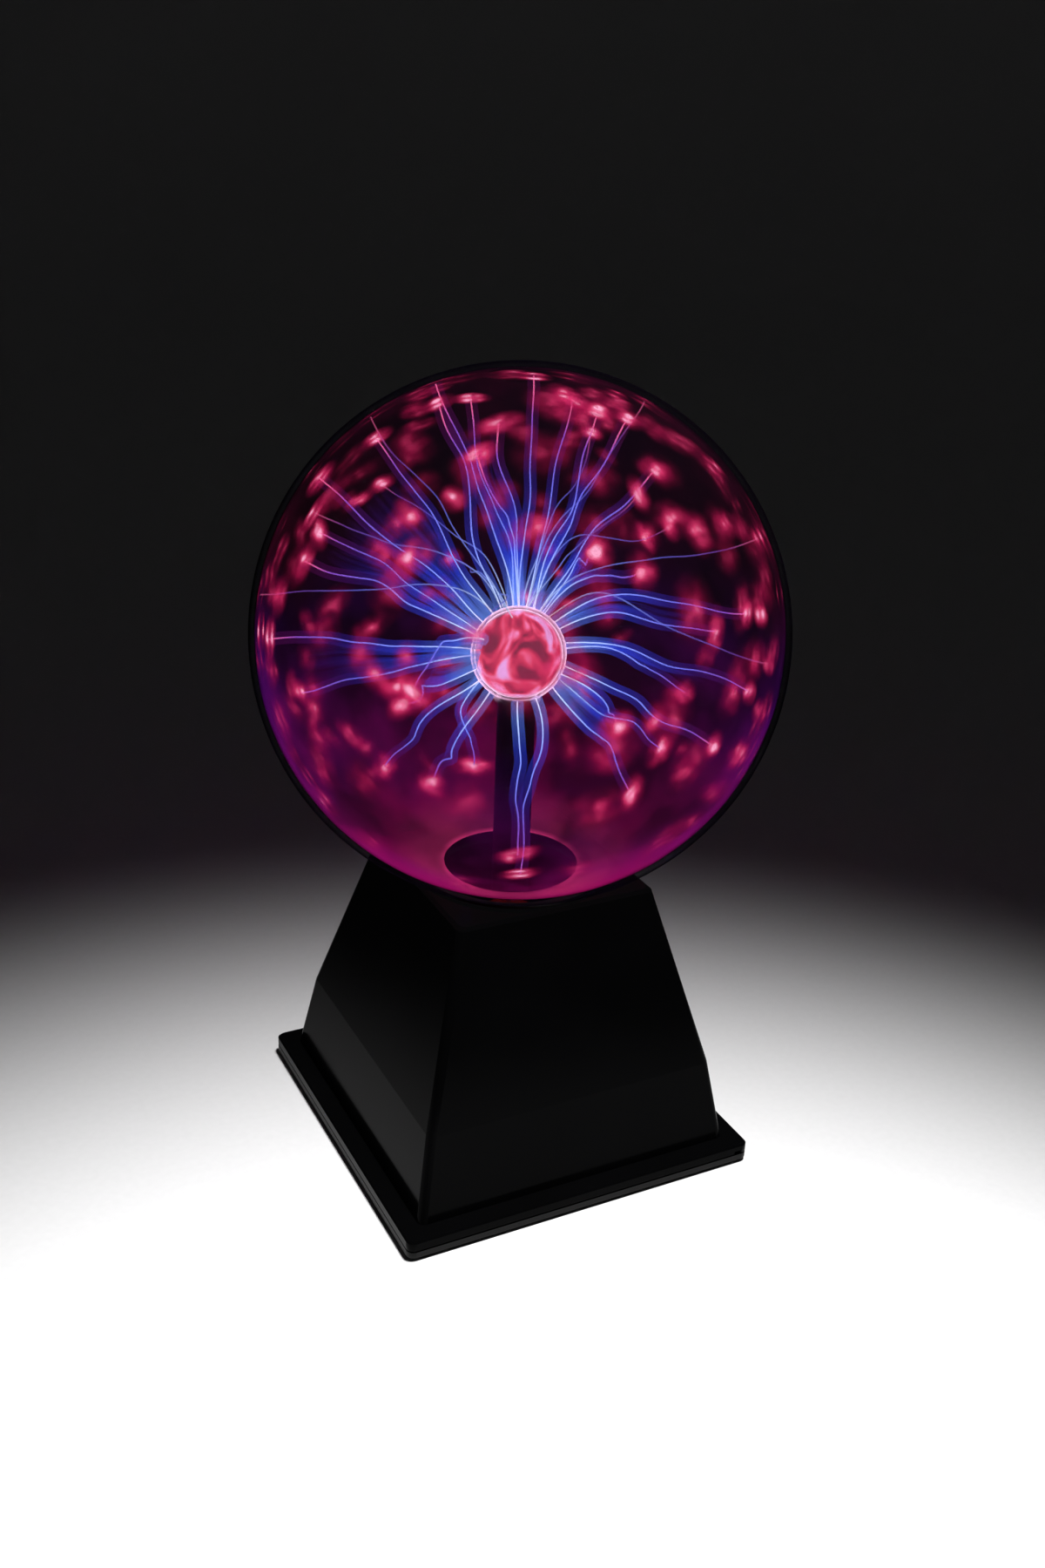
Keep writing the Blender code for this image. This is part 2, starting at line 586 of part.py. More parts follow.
def build_heat_sink():
    """A finned extrusion that stands beside the transistor, its flat face towards -X."""
    teeth = []
    pitch = (SINK_LENGTH - FIN_THICKNESS) / (FIN_COUNT - 1)
    for fin in range(FIN_COUNT):
        start = fin * pitch
        teeth += [(SINK_PLATE, start), (SINK_PLATE + FIN_DEPTH, start),
                  (SINK_PLATE + FIN_DEPTH, start + FIN_THICKNESS), (SINK_PLATE, start + FIN_THICKNESS)]
    outline = [(0.0, 0.0)] + teeth[1:-1] + [(0.0, SINK_LENGTH)]
    curve = bpy.data.curves.new("heat_sink", "CURVE")
    curve.dimensions = "2D"
    curve.fill_mode = "BOTH"
    curve.extrude = SINK_HEIGHT / 2
    spline = curve.splines.new("POLY")
    spline.points.add(len(outline) - 1)
    for point, (x, y) in zip(spline.points, outline):
        point.co = (x, y, 0.0, 1.0)
    spline.use_cyclic_u = True
    blank = bpy.data.objects.new("heat_sink_blank", curve)
    CUTTERS.objects.link(blank)
    mesh = bpy.data.meshes.new_from_object(blank)
    bpy.data.objects.remove(blank)
    bm = bmesh.new()
    bm.from_mesh(mesh)
    bmesh.ops.remove_doubles(bm, verts=bm.verts[:], dist=0.00001)
    corner = SINK_CENTRE + Vector((0, -SINK_LENGTH / 2, SINK_HEIGHT / 2))
    bmesh.ops.translate(bm, verts=bm.verts[:], vec=corner)
    sink = add_part("heat_sink", mesh_from(bm, "heat_sink"), ((0.25, 0.25, 0.26), 0.4, 1.0))
    hole = bmesh.new()
    across = Matrix.Translation((SINK_CENTRE.x, SINK_CENTRE.y, TRANSISTOR_SCREW_Z))
    across = across @ Matrix.Rotation(math.pi / 2, 4, "Y")
    add_cylinder(hole, 1.5 * MM, -1 * MM, SINK_PLATE + 1 * MM, sides=14)
    hole.transform(across)
    boolean(sink, hole, "DIFFERENCE")

    tab = 1.3 * MM
    face = SINK_CENTRE.x - GAP
    top = 43.4 * MM
    bottom = 27.0 * MM
    size = (tab, 10 * MM, top - bottom)
    transistor = box_part("power_transistor", size, (face - tab / 2, SINK_CENTRE.y, (top + bottom) / 2),
                          ((0.015, 0.015, 0.015), 0.4))
    body = bmesh.new()
    add_box(body, (4.4 * MM, 9.9 * MM, 9 * MM), (face - 2.3 * MM, SINK_CENTRE.y, bottom + 4.6 * MM))
    boolean(transistor, body, "UNION")
    legs = bmesh.new()
    for leg in (-1, 0, 1):
        add_box(legs, (0.6 * MM, 0.9 * MM, bottom + 1 * MM - ON_BOARD),
                (face - 2.2 * MM, SINK_CENTRE.y + leg * 2.54 * MM, (bottom + 1 * MM + ON_BOARD) / 2))
    boolean(transistor, legs, "UNION")
    tab_hole = bmesh.new()
    add_cylinder(tab_hole, 1.7 * MM, -4 * MM, 1 * MM, sides=14)
    tab_hole.transform(across)
    boolean(transistor, tab_hole, "DIFFERENCE")

    head_side = Matrix.Translation((face - tab - GAP, SINK_CENTRE.y, TRANSISTOR_SCREW_Z))
    head_side = head_side @ Matrix.Rotation(-math.pi / 2, 4, "Y")
    screw_part("transistor_screw", head_side, 4.3 * MM, ZINC, head=2.4 * MM, shank=1.2 * MM)


def build_board_parts():
    def can(name, radius, height, x, y):
        profile = [(0.0, height), (radius * 0.88, height), (radius, height - 0.8 * MM),
                   (radius, 3.2 * MM), (radius * 0.9, 2.6 * MM), (radius, 2.0 * MM), (radius, 0.0),
                   (0.0, 0.0)]
        piece = turned(name, profile, ((0.02, 0.03, 0.09), 0.3), steps=24, smooth=False)
        piece.location = (x, y, ON_BOARD)

    can("electrolytic_cap_1", 6.3 * MM, 20 * MM, -36 * MM, 25 * MM)
    can("electrolytic_cap_2", 5.0 * MM, 14 * MM, -20 * MM, 28 * MM)
    box_part("film_capacitor", (18 * MM, 6 * MM, 12 * MM), (-6 * MM, 15 * MM, ON_BOARD + 6 * MM),
             ((0.45, 0.05, 0.03), 0.35), edge=0.8 * MM)

    chip_place = Vector((0.0, 29 * MM, ON_BOARD))
    chip = box_part("oscillator_ic", (9.6 * MM, 6.4 * MM, 3.3 * MM), chip_place + Vector((0, 0, 2.5 * MM)),
                    ((0.015, 0.015, 0.016), 0.45))
    pins = bmesh.new()
    for side in (-1, 1):
        for pin in range(4):
            foot = chip_place + Vector(((pin - 1.5) * 2.54 * MM, side * 3.5 * MM, 1.4 * MM))
            add_box(pins, (0.6 * MM, 1.2 * MM, 2.8 * MM), foot)
    boolean(chip, pins, "UNION")

    capsule = [(0.0, 6.5 * MM), (4.2 * MM, 6.5 * MM), (4.8 * MM, 6.0 * MM), (4.8 * MM, 0.0), (0.0, 0.0)]
    microphone = turned("microphone", capsule, ((0.5, 0.5, 0.5), 0.35, 1.0), steps=22, smooth=False)
    microphone.location = (37 * MM, 24 * MM, ON_BOARD)


def build_trimmer():
    """A small preset: the slotted rotor turns in the body's round well, about Z."""
    body = box_part("trimmer_body", (8 * MM, 8 * MM, TRIMMER_HEIGHT),
                    TRIMMER_CENTRE + Vector((0, 0, TRIMMER_HEIGHT / 2)), ((0.03, 0.12, 0.4), 0.4))
    well = bmesh.new()
    top = TRIMMER_CENTRE.z + TRIMMER_HEIGHT
    add_cylinder(well, ROTOR_RADIUS + GAP, top - 2.5 * MM, top + 1 * MM, TRIMMER_CENTRE.x,
                 TRIMMER_CENTRE.y, sides=28)
    boolean(body, well, "DIFFERENCE")
    profile = [(0.0, 2.6 * MM), (ROTOR_RADIUS - 0.3 * MM, 2.6 * MM), (ROTOR_RADIUS, 2.3 * MM),
               (ROTOR_RADIUS, 0.0), (0.0, 0.0)]
    rotor = turned("trimmer_rotor", profile, ((0.8, 0.8, 0.78), 0.4), steps=28, smooth=False)
    rotor.location = (TRIMMER_CENTRE.x, TRIMMER_CENTRE.y, top - 2.5 * MM + GAP)
    slot = bmesh.new()
    add_box(slot, (0.7 * MM, 3.6 * MM, 2 * MM), (0, 0, 2.8 * MM))
    helper = boolean(rotor, slot, "DIFFERENCE")
    helper.location = rotor.location


# ---------------------------------------------------------------- rear controls and wiring

def build_inlet():
    """Barrel jack: flanged shell through the skirt, centre pin and panel nut."""
    place = skirt_frame(INLET_X)
    flange = 7.0 * MM
    shell = [(SOCKET_RADIUS, 2 * MM), (flange - 0.5 * MM, 2 * MM), (flange, 1.5 * MM), (flange, GAP),
             (BARREL_RADIUS, GAP), (BARREL_RADIUS, -BARREL_LENGTH), (PIN_RADIUS + GAP, -BARREL_LENGTH),
             (PIN_RADIUS + GAP, -9 * MM), (SOCKET_RADIUS, -9 * MM)]
    jack = turned("dc_jack_shell", shell, ((0.02, 0.02, 0.02), 0.35), steps=28, closed=True, smooth=False)
    jack.matrix_world = place
    pin_top = [(0.0, 0.0), (PIN_RADIUS * 0.7, 0.0), (PIN_RADIUS, -0.6 * MM), (PIN_RADIUS, -17 * MM),
               (0.0, -17 * MM)]
    pin = turned("dc_jack_pin", pin_top, ((0.75, 0.72, 0.65), 0.25, 1.0), steps=14, smooth=False)
    pin.matrix_world = place
    bm = bmesh.new()
    top = -SHELL_WALL - GAP
    add_cylinder(bm, 7.6 * MM, top - 2.4 * MM, top, sides=6)
    nut = add_part("dc_jack_nut", mesh_from(bm, "dc_jack_nut"), ZINC)
    nut.matrix_world = place
    bore = bmesh.new()
    add_cylinder(bore, BARREL_RADIUS + GAP, top - 4 * MM, top + 2 * MM, sides=28)
    boolean(nut, bore, "DIFFERENCE")


def build_switch():
    """Snap-in rocker switch. The rocker's pivot runs along X and it rests pressed to one side."""
    place = skirt_frame(SWITCH_X)
    bm = bmesh.new()
    add_box(bm, (SWITCH_WIDTH, SWITCH_LENGTH, 1.8 * MM), (0, 0, GAP + 0.9 * MM))
    frame = add_part("switch_frame", mesh_from(bm, "switch_frame"), MOULDED_BLACK)
    frame.matrix_world = place
    body = bmesh.new()
    add_box(body, (SWITCH_WIDTH - 2 * MM, SWITCH_LENGTH - 2 * MM, SWITCH_DEPTH),
            (0, 0, -SWITCH_DEPTH / 2 + 1 * MM))
    boolean(frame, body, "UNION")
    pocket = bmesh.new()
    add_box(pocket, (POCKET_WIDTH, POCKET_LENGTH, 2 * POCKET_DEPTH), (0, 0, 0))
    boolean(frame, pocket, "DIFFERENCE")

    half_length = 7.8 * MM
    outline = [(-half_length, 3.2), (0.0, 2.0), (half_length, 3.2), (half_length, 0.0), (3 * MM, -3.6),
               (-3 * MM, -3.6), (-half_length, 0.0)]
    curve = bpy.data.curves.new("rocker_cap", "CURVE")
    curve.dimensions = "2D"
    curve.fill_mode = "BOTH"
    curve.extrude = POCKET_WIDTH / 2 - 1.4 * GAP
    spline = curve.splines.new("POLY")
    spline.points.add(len(outline) - 1)
    for point, (along, height) in zip(spline.points, outline):
        point.co = (along, height * MM, 0.0, 1.0)
    spline.use_cyclic_u = True
    rocker = add_part("rocker_cap", curve, ((0.01, 0.01, 0.011), 0.2))
    stand = Matrix.Rotation(math.pi / 2, 4, "Y") @ Matrix.Rotation(math.pi / 2, 4, "Z")
    tilt = Matrix.Rotation(ROCKER_REST_TILT, 4, "X")
    rocker.matrix_world = place @ Matrix.Translation((0, 0, -ROCKER_PIVOT_DEPTH)) @ tilt @ stand

    for number in (1, 2, 3):
        bm = bmesh.new()
        top = -SWITCH_DEPTH + 1 * MM - GAP
        add_box(bm, (4.8 * MM, 0.8 * MM, 7 * MM), (0, (number - 2) * 6 * MM, top - 3.5 * MM))
        tag = add_part(f"switch_tag_{number}", mesh_from(bm, f"switch_tag_{number}"), ZINC)
        tag.matrix_world = place


def build_wiring():
    """Single wires from the inlet and the switch to the board, points in millimetres."""
    red = ((0.35, 0.02, 0.02), 0.5)
    black = ((0.01, 0.01, 0.01), 0.5)
    wire_part("jack_lead_1", [(-22.0, 46.6, 22.9), (-22.4, 43.5, 22.2), (-24.5, 39.0, 20.6),
                              (-25.5, 37.0, 18.2), (-25.6, 36.8, 16.1)], 0.8 * MM, red)
    wire_part("jack_lead_2", [(-18.4, 49.6, 23.5), (-17.6, 46.0, 22.8), (-14.0, 40.0, 20.8),
                              (-12.6, 37.4, 18.2), (-12.5, 37.2, 16.1)], 0.8 * MM, black)
    wire_part("switch_lead_1", [(22.0, 42.7, 22.0), (21.2, 40.0, 21.2), (19.6, 37.6, 19.4),
                                (19.4, 37.2, 16.1)], 0.8 * MM, red)
    wire_part("switch_lead_2", [(22.0, 41.7, 27.9), (23.6, 38.6, 27.0), (27.0, 36.4, 22.0),
                                (27.2, 36.2, 16.1)], 0.8 * MM, black)


def main():
    global PARTS, CUTTERS
    clear_scene()
    PARTS = new_collection("plasma_ball")
    CUTTERS = new_collection("cutters")
    build_feet()
    build_bottom_plate()
    build_base_housing()
    build_cover_screws()
    build_globe()
    build_electrode_bulb()
    build_electrode_core()
    build_seat()
    build_high_voltage_feed()
    build_board()
    build_transformer()
    build_heat_sink()
    build_board_parts()
    build_trimmer()
    build_inlet()
    build_switch()
    build_wiring()


main()
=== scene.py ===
import math
import random

import bmesh
import bpy
from bpy.props import FloatProperty, IntProperty, PointerProperty
from mathutils import Matrix, Vector, noise


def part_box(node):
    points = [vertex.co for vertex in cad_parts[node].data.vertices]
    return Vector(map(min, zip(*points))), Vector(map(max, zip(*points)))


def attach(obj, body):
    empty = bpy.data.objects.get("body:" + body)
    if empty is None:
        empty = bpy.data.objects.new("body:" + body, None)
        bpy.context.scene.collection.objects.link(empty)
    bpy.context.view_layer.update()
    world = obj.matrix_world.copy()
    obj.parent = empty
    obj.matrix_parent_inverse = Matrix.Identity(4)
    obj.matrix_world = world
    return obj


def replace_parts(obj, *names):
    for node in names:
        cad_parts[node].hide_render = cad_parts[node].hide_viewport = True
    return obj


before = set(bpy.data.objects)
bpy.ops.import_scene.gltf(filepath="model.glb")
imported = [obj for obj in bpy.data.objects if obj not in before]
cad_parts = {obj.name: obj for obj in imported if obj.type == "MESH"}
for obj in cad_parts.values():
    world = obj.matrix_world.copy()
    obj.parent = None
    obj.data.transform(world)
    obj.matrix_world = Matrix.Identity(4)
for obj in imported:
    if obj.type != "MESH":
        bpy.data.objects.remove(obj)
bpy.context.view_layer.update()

bl_info = {
    "name": "Plasma Ball",
    "version": (1, 0, 0),
    "blender": (4, 5, 0),
    "location": "3D View > Sidebar > Plasma Ball",
    "description": "Blown glass, discharge, moulded base and stage of a desk plasma ball",
    "category": "Object",
}

MM = 0.001
MM2 = MM * MM

# The frame's own sizes, which every piece is placed by
GLOBE_LOW, GLOBE_HIGH = (Vector(corner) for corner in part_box("glass_globe"))
GLOBE_RADIUS = (GLOBE_HIGH.x - GLOBE_LOW.x) / 2
GLOBE_CENTRE = Vector((0, 0, GLOBE_HIGH.z - GLOBE_RADIUS))
NECK_BOTTOM = GLOBE_LOW.z
WOOL_LOW, WOOL_HIGH = (Vector(corner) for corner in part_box("electrode_wool"))
BULB_CENTRE = (WOOL_LOW + WOOL_HIGH) / 2
BULB_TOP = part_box("electrode_bulb")[1][2]
BULB_RADIUS = BULB_TOP - BULB_CENTRE.z
FLARE_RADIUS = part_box("electrode_bulb")[1][0]
FLARE_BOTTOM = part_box("electrode_bulb")[0][2]

CONTACT_REACH = GLOBE_RADIUS - 3.5 * MM     # where filaments end, just inside the glass
FADE_REACH = GLOBE_RADIUS - 3.0 * MM        # where the colours along a filament end
MERGE_DISTANCE = 0.01 * MM

ROOT = "base"


# ------------------------------------------------------------------ settings

class PlasmaGlassSettings(bpy.types.PropertyGroup):
    wall: FloatProperty(name="Globe wall", description="Thickness of the blown globe",
                        default=2.2 * MM, unit="LENGTH")
    neck_radius: FloatProperty(name="Neck radius", description="Outside radius of the globe's neck",
                               default=27.0 * MM, unit="LENGTH")
    stem_radius: FloatProperty(name="Stem radius", description="Outside radius of the electrode's stem",
                               default=9.0 * MM, unit="LENGTH")
    # Painted shade: the dark tint of the globe's glass, standing in for dark surroundings behind the globe
    shade_tint: FloatProperty(name="Shade tint", description="Share of the light that one wall of the globe stops",
                         default=0.66, min=0, max=0.98, subtype="FACTOR")


class PlasmaDischargeSettings(bpy.types.PropertyGroup):
    core_radius: FloatProperty(name="Filament radius", description="Radius of a filament's bright core",
                               default=0.27 * MM, unit="LENGTH")
    halo_radius: FloatProperty(name="Halo radius", description="Radius of the glow round a filament",
                               default=2.4 * MM, unit="LENGTH")
    sway: FloatProperty(name="Sway", description="How far a filament wanders from its arch",
                        default=6.0 * MM, unit="LENGTH")
    extra: IntProperty(name="Extra filaments", description="Faint filaments spread over the rest",
                       default=12, min=0, max=80)
    glow_count: IntProperty(name="Loose glows", description="Contact glows with no bright filament",
                            default=170, min=0, max=400)
    glow_size: FloatProperty(name="Glow size", description="Radius of a middling contact glow",
                             default=6.2 * MM, unit="LENGTH")
    seed: IntProperty(name="Seed", description="Fixes every random choice", default=7)


class PlasmaStageSettings(bpy.types.PropertyGroup):
    azimuth: FloatProperty(name="Azimuth", description="Camera's turn round the ball, from the front",
                           default=math.radians(-26.5), subtype="ANGLE")
    elevation: FloatProperty(name="Elevation", description="Camera's height angle",
                             default=math.radians(23.3), subtype="ANGLE")
    roll: FloatProperty(name="Roll", description="Camera's tilt about its own axis",
                        default=math.radians(1.8), subtype="ANGLE")
    distance: FloatProperty(name="Distance", description="Camera to the ball's axis",
                            default=607.0 * MM, unit="LENGTH")
    lens: FloatProperty(name="Lens", description="Focal length in millimetres", default=36.4)


# ------------------------------------------------------------------ small helpers

def hex_colour(text):
    """Linear RGB of an sRGB hex value."""
    values = [int(text[i:i + 2], 16) / 255 for i in (1, 3, 5)]
    return tuple(v / 12.92 if v <= 0.04045 else ((v + 0.055) / 1.055) ** 2.4 for v in values)


def add_node(tree, kind, inputs=None, stops=None, **settings):
    """Add a node, set its settings, ramp stops and inputs, and link the inputs given as sockets."""
    node = tree.nodes.new(kind)
    for name, value in settings.items():
        setattr(node, name, value)
    if stops:
        elements = node.color_ramp.elements
        while len(elements) < len(stops):
            elements.new(1.0)
        for element, (place, colour) in zip(elements, stops):
            element.position = place
            element.color = (*colour, 1.0)
    for name, value in (inputs or {}).items():
        socket = node.inputs[name]
        if isinstance(value, bpy.types.NodeSocket):
            tree.links.new(value, socket)
        else:
            socket.default_value = value
    return node


def new_material(name):
    """A material with an empty tree and its output node."""
    mat = bpy.data.materials.new(name)
    mat.use_nodes = True
    mat.node_tree.nodes.clear()
    output = mat.node_tree.nodes.new("ShaderNodeOutputMaterial")
    return mat, mat.node_tree, output


def grey(value):
    return (value, value, value)


def new_object(name, data):
    """A new object in the scene, at the origin."""
    item = bpy.data.objects.new(name, data)
    bpy.context.scene.collection.objects.link(item)
    return item


def link_piece(mesh, name, mat, body=ROOT):
    """Link a finished mesh as a piece that rides on a body."""
    piece = new_object(name, mesh)
    mesh.materials.clear()
    mesh.materials.append(mat)
    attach(piece, body)
    return piece


def direction(azimuth, elevation):
    """Unit vector from degrees; azimuth 0 is the front, 90 the right side."""
    a, e = math.radians(azimuth), math.radians(elevation)
    return Vector((math.sin(a) * math.cos(e), -math.cos(a) * math.cos(e), math.sin(e)))


def turned_mesh(name, profile, steps, closed=False):
    """Spin a profile of (radius, height) points round Z into a closed, smooth mesh."""
    bm = bmesh.new()
    verts = [bm.verts.new((radius, 0, height)) for radius, height in profile]
    edges = [bm.edges.new(pair) for pair in zip(verts, verts[1:])]
    if closed:
        edges.append(bm.edges.new((verts[-1], verts[0])))
    bmesh.ops.spin(bm, geom=verts + edges, axis=(0, 0, 1), cent=(0, 0, 0), steps=steps,
                   angle=math.tau, use_merge=False)
    bmesh.ops.remove_doubles(bm, verts=bm.verts, dist=MERGE_DISTANCE)
    bmesh.ops.recalc_face_normals(bm, faces=bm.faces)
    for face in bm.faces:
        face.smooth = True
    mesh = bpy.data.meshes.new(name)
    bm.to_mesh(mesh)
    bm.free()
    return mesh


def arc(centre_z, radius, start, end, count):
    """Profile points on a circle about the axis; angles are measured from straight up."""
    angles = [start + (end - start) * i / (count - 1) for i in range(count)]
    return [(max(0.0, radius * math.sin(a)), centre_z + radius * math.cos(a)) for a in angles]


# ------------------------------------------------------------------ materials of the base

def moulded_gloss_abs():
    """Injection-moulded gloss ABS: deep black, a hard clear shine, faint orange peel and handling haze."""
    mat, tree, output = new_material("moulded_gloss_abs")
    place = add_node(tree, "ShaderNodeTexCoord").outputs["Object"]
    haze = add_node(tree, "ShaderNodeTexNoise", {"Vector": place, "Scale": 1 / (45.5 * MM), "Detail": 5.0})
    polish = add_node(tree, "ShaderNodeMapRange", {"Value": haze.outputs["Fac"], "From Min": 0.35,
                                                   "From Max": 0.7, "To Min": 0.10, "To Max": 0.19})
    peel = add_node(tree, "ShaderNodeTexNoise", {"Vector": place, "Scale": 1 / (2.5 * MM), "Detail": 1.0})
    bump = add_node(tree, "ShaderNodeBump", {"Height": peel.outputs["Fac"], "Strength": 0.04,
                                             "Distance": 0.1 * MM})
    tone = add_node(tree, "ShaderNodeValToRGB", {"Fac": haze.outputs["Fac"]},
                    stops=[(0.0, hex_colour("#030303")), (1.0, hex_colour("#060607"))])
    shader = add_node(tree, "ShaderNodeBsdfPrincipled", {
        "Base Color": tone.outputs["Color"], "Roughness": polish.outputs["Result"], "IOR": 1.5,
        "Specular IOR Level": 0.02, "Normal": bump.outputs["Normal"]})
    tree.links.new(shader.outputs["BSDF"], output.inputs["Surface"])
    return mat


def moulded_finish(name, dark, light, roughness, grain, bump_strength=0.15, metallic=0.0, shine=0.5):
    """A plain finish with a grain, drawn coarser than the real one so that it shows: two close tones,
    a roughness that wanders with them, and a low bump."""
    mat, tree, output = new_material(name)
    place = add_node(tree, "ShaderNodeTexCoord").outputs["Object"]
    speck = add_node(tree, "ShaderNodeTexNoise", {"Vector": place, "Scale": 1 / grain, "Detail": 3.0})
    tone = add_node(tree, "ShaderNodeValToRGB", {"Fac": speck.outputs["Fac"]},
                    stops=[(0.3, hex_colour(dark)), (0.7, hex_colour(light))])
    rough = add_node(tree, "ShaderNodeMapRange", {"Value": speck.outputs["Fac"],
                                                  "To Min": roughness * 0.8, "To Max": roughness * 1.2})
    bump = add_node(tree, "ShaderNodeBump", {"Height": speck.outputs["Fac"], "Strength": bump_strength,
                                             "Distance": 0.1 * MM})
    shader = add_node(tree, "ShaderNodeBsdfPrincipled", {
        "Base Color": tone.outputs["Color"], "Roughness": rough.outputs["Result"],
        "Metallic": metallic, "Specular IOR Level": shine, "Normal": bump.outputs["Normal"]})
    tree.links.new(shader.outputs["BSDF"], output.inputs["Surface"])
    return mat


# ------------------------------------------------------------------ materials of the globe

def blown_glass():
    """Blown soda-lime glass with painted shade: a dark tint that stands in for dark surroundings keeps the
    room behind it dark so the discharge shows, and a painted black rim stands in for the dark edge that
    refraction gives the glass.
    """
    # Painted shade: the share of light that each surface of the glass stops, from the dark tint
    surface_shade = 1 - math.sqrt(1 - bpy.context.scene.plasma_glass.shade_tint)
    mat, tree, output = new_material("smoked_blown_glass")
    place = add_node(tree, "ShaderNodeTexCoord").outputs["Object"]
    cords = add_node(tree, "ShaderNodeTexNoise", {"Vector": place, "Scale": 1 / (111 * MM), "Detail": 1.0})
    tone = add_node(tree, "ShaderNodeValToRGB", {"Fac": cords.outputs["Fac"]},
                    stops=[(0.3, hex_colour("#05030A")), (0.7, hex_colour("#0A060C"))])
    # Painted shade: towards the limb the alpha rises to 1, drawing a black rim in place of the dark edge that
    # refraction gives real glass
    edge = add_node(tree, "ShaderNodeLayerWeight", {"Blend": 0.5})
    stopped = add_node(tree, "ShaderNodeMapRange", {"Value": edge.outputs["Facing"], "From Min": 0.84,
                                                    "From Max": 1.0, "To Min": surface_shade, "To Max": 1.0})
    shader = add_node(tree, "ShaderNodeBsdfPrincipled", {
        "Base Color": tone.outputs["Color"], "Roughness": 0.0, "IOR": 1.5, "Specular IOR Level": 0.0,
        "Alpha": stopped.outputs["Result"]})
    tree.links.new(shader.outputs["BSDF"], output.inputs["Surface"])
    return mat


def from_bulb(tree):
    """0 at the bulb's surface and 1 at the globe's glass, from the place alone."""
    place = add_node(tree, "ShaderNodeTexCoord").outputs["Object"]
    away = add_node(tree, "ShaderNodeVectorMath", {0: place, 1: tuple(BULB_CENTRE)}, operation="DISTANCE")
    return place, add_node(tree, "ShaderNodeMapRange", {
        "Value": away.outputs["Value"], "From Min": BULB_RADIUS, "From Max": FADE_REACH,
        "To Min": 0.0, "To Max": 1.0}).outputs["Result"]


def glow_material(name, colour, strength, alpha):
    """Light with no surface of its own. colour, strength and alpha take a tree and give a socket or value."""
    mat, tree, output = new_material(name)
    inputs = {"Base Color": (0, 0, 0, 1), "Roughness": 1.0, "Specular IOR Level": 0.0,
              "Emission Color": colour(tree), "Emission Strength": strength, "Alpha": alpha(tree)}
    shader = add_node(tree, "ShaderNodeBsdfPrincipled", inputs)
    tree.links.new(shader.outputs["BSDF"], output.inputs["Surface"])
    mat.cycles.emission_sampling = "NONE"
    return mat


def filament_colour(tree):
    """Near-white blue at the bulb, then blue, violet, and pink where it meets the glass."""
    _, along = from_bulb(tree)
    ramp = add_node(tree, "ShaderNodeValToRGB", {"Fac": along}, stops=[
        (0.0, hex_colour("#F5DCFF")), (0.07, hex_colour("#BED2FF")), (0.30, hex_colour("#8296FF")),
        (0.60, hex_colour("#6E6EE6")), (0.88, hex_colour("#8C50C8")), (1.0, hex_colour("#FF6EAA"))])
    return ramp.outputs["Color"]


def halo_colour(tree):
    """Deep blue round the bulb, turning violet and then red-violet towards the glass."""
    _, along = from_bulb(tree)
    ramp = add_node(tree, "ShaderNodeValToRGB", {"Fac": along}, stops=[
        (0.0, hex_colour("#6E96FF")), (0.25, hex_colour("#2D46E6")), (0.65, hex_colour("#3C28AA")),
        (1.0, hex_colour("#961E82"))])
    return ramp.outputs["Color"]


def fading_alpha(near, far):
    """Alpha that falls from the bulb outwards."""
    def build(tree):
        _, along = from_bulb(tree)
        return add_node(tree, "ShaderNodeMapRange", {"Value": along, "To Min": near,
                                                     "To Max": far}).outputs["Result"]
    return build


def constant(value):
    return lambda tree: value


# ------------------------------------------------------------------ discharge geometry

# Filaments: azimuth and elevation in degrees of the contact on the glass, then of the root on the
# bulb, the weight of the filament, and which filament shares a veil with it (or None)
FILAMENTS = [
    # rising from the crown of the bulb
    (-85, 68, -150, 62, 0.9, None), (-140, 68, 178, 70, 0.7, 2), (175, 53, 176, 69, 0.7, 3),
    (-41, 65, 158, 75, 0.8, 4), (-45, 56, 162, 75, 0.9, None), (150, 68, 156, 68, 0.8, None),
    (135, 54, 136, 64, 0.5, None),
    # up to the right
    (17, 51, 106, 56, 0.9, None), (15, 69, 114, 62, 0.7, 9), (28, 65, 120, 61, 0.7, None),
    (0, 31, 100, 50, 0.8, 11), (-11, 35, 103, 52, 0.8, None),
    # arching over to the right and falling
    (85, 0, 80, 40, 1.0, 13), (96, -8, 78, 30, 0.9, None), (75, -16, 68, 14, 1.0, 15),
    (100, -25, 66, 8, 0.9, None), (16, -7, 58, -12, 0.6, None),
    # down to the right
    (-8, 2, 40, -16, 0.8, 18), (-3, -14, 42, -38, 0.8, None), (98, -40, 55, -30, 0.6, None),
    # down past the stem
    (-26, -30, -26, -62, 1.0, None), (-25, -38, 12, -52, 0.9, None),
    # down and out to the left
    (-44, -12, -90, -50, 0.8, None), (-48, 7, -82, 28, 1.0, 24), (-50, 4, -90, -12, 1.0, None),
    (-92, 6, -118, 4, 1.0, 26), (-134, -22, -122, -6, 0.6, None),
    # up and out to the left
    (-148, 14, -130, 25, 0.7, 28), (-84, 25, -126, 20, 0.7, None), (-102, 40, -135, 36, 0.8, 27),
    (-156, 40, -145, 50, 0.7, 29), (-152, -48, -104, -34, 0.6, None), (170, -54, -140, -40, 0.6, None),
]

# Strong contact glows with no filament of their own: azimuth and elevation in degrees
GLOWS = [(-92, 64), (-47, 45), (-57, 40), (-53, 32), (5, 76), (36, 70), (48, 47), (13, 40), (20, 36),
         (-25, 40), (-120, 37), (34, 16), (34, -5), (28, -13), (-57, 9), (-62, -5), (0, 2), (-100, 5),
         (165, 30), (-160, 20), (120, 10), (150, -10), (-170, -30), (110, 60)]

# The glow round a filament, as shares of its full radius from the inside out
HALO_LAYERS = (0.3, 0.6, 1.0)


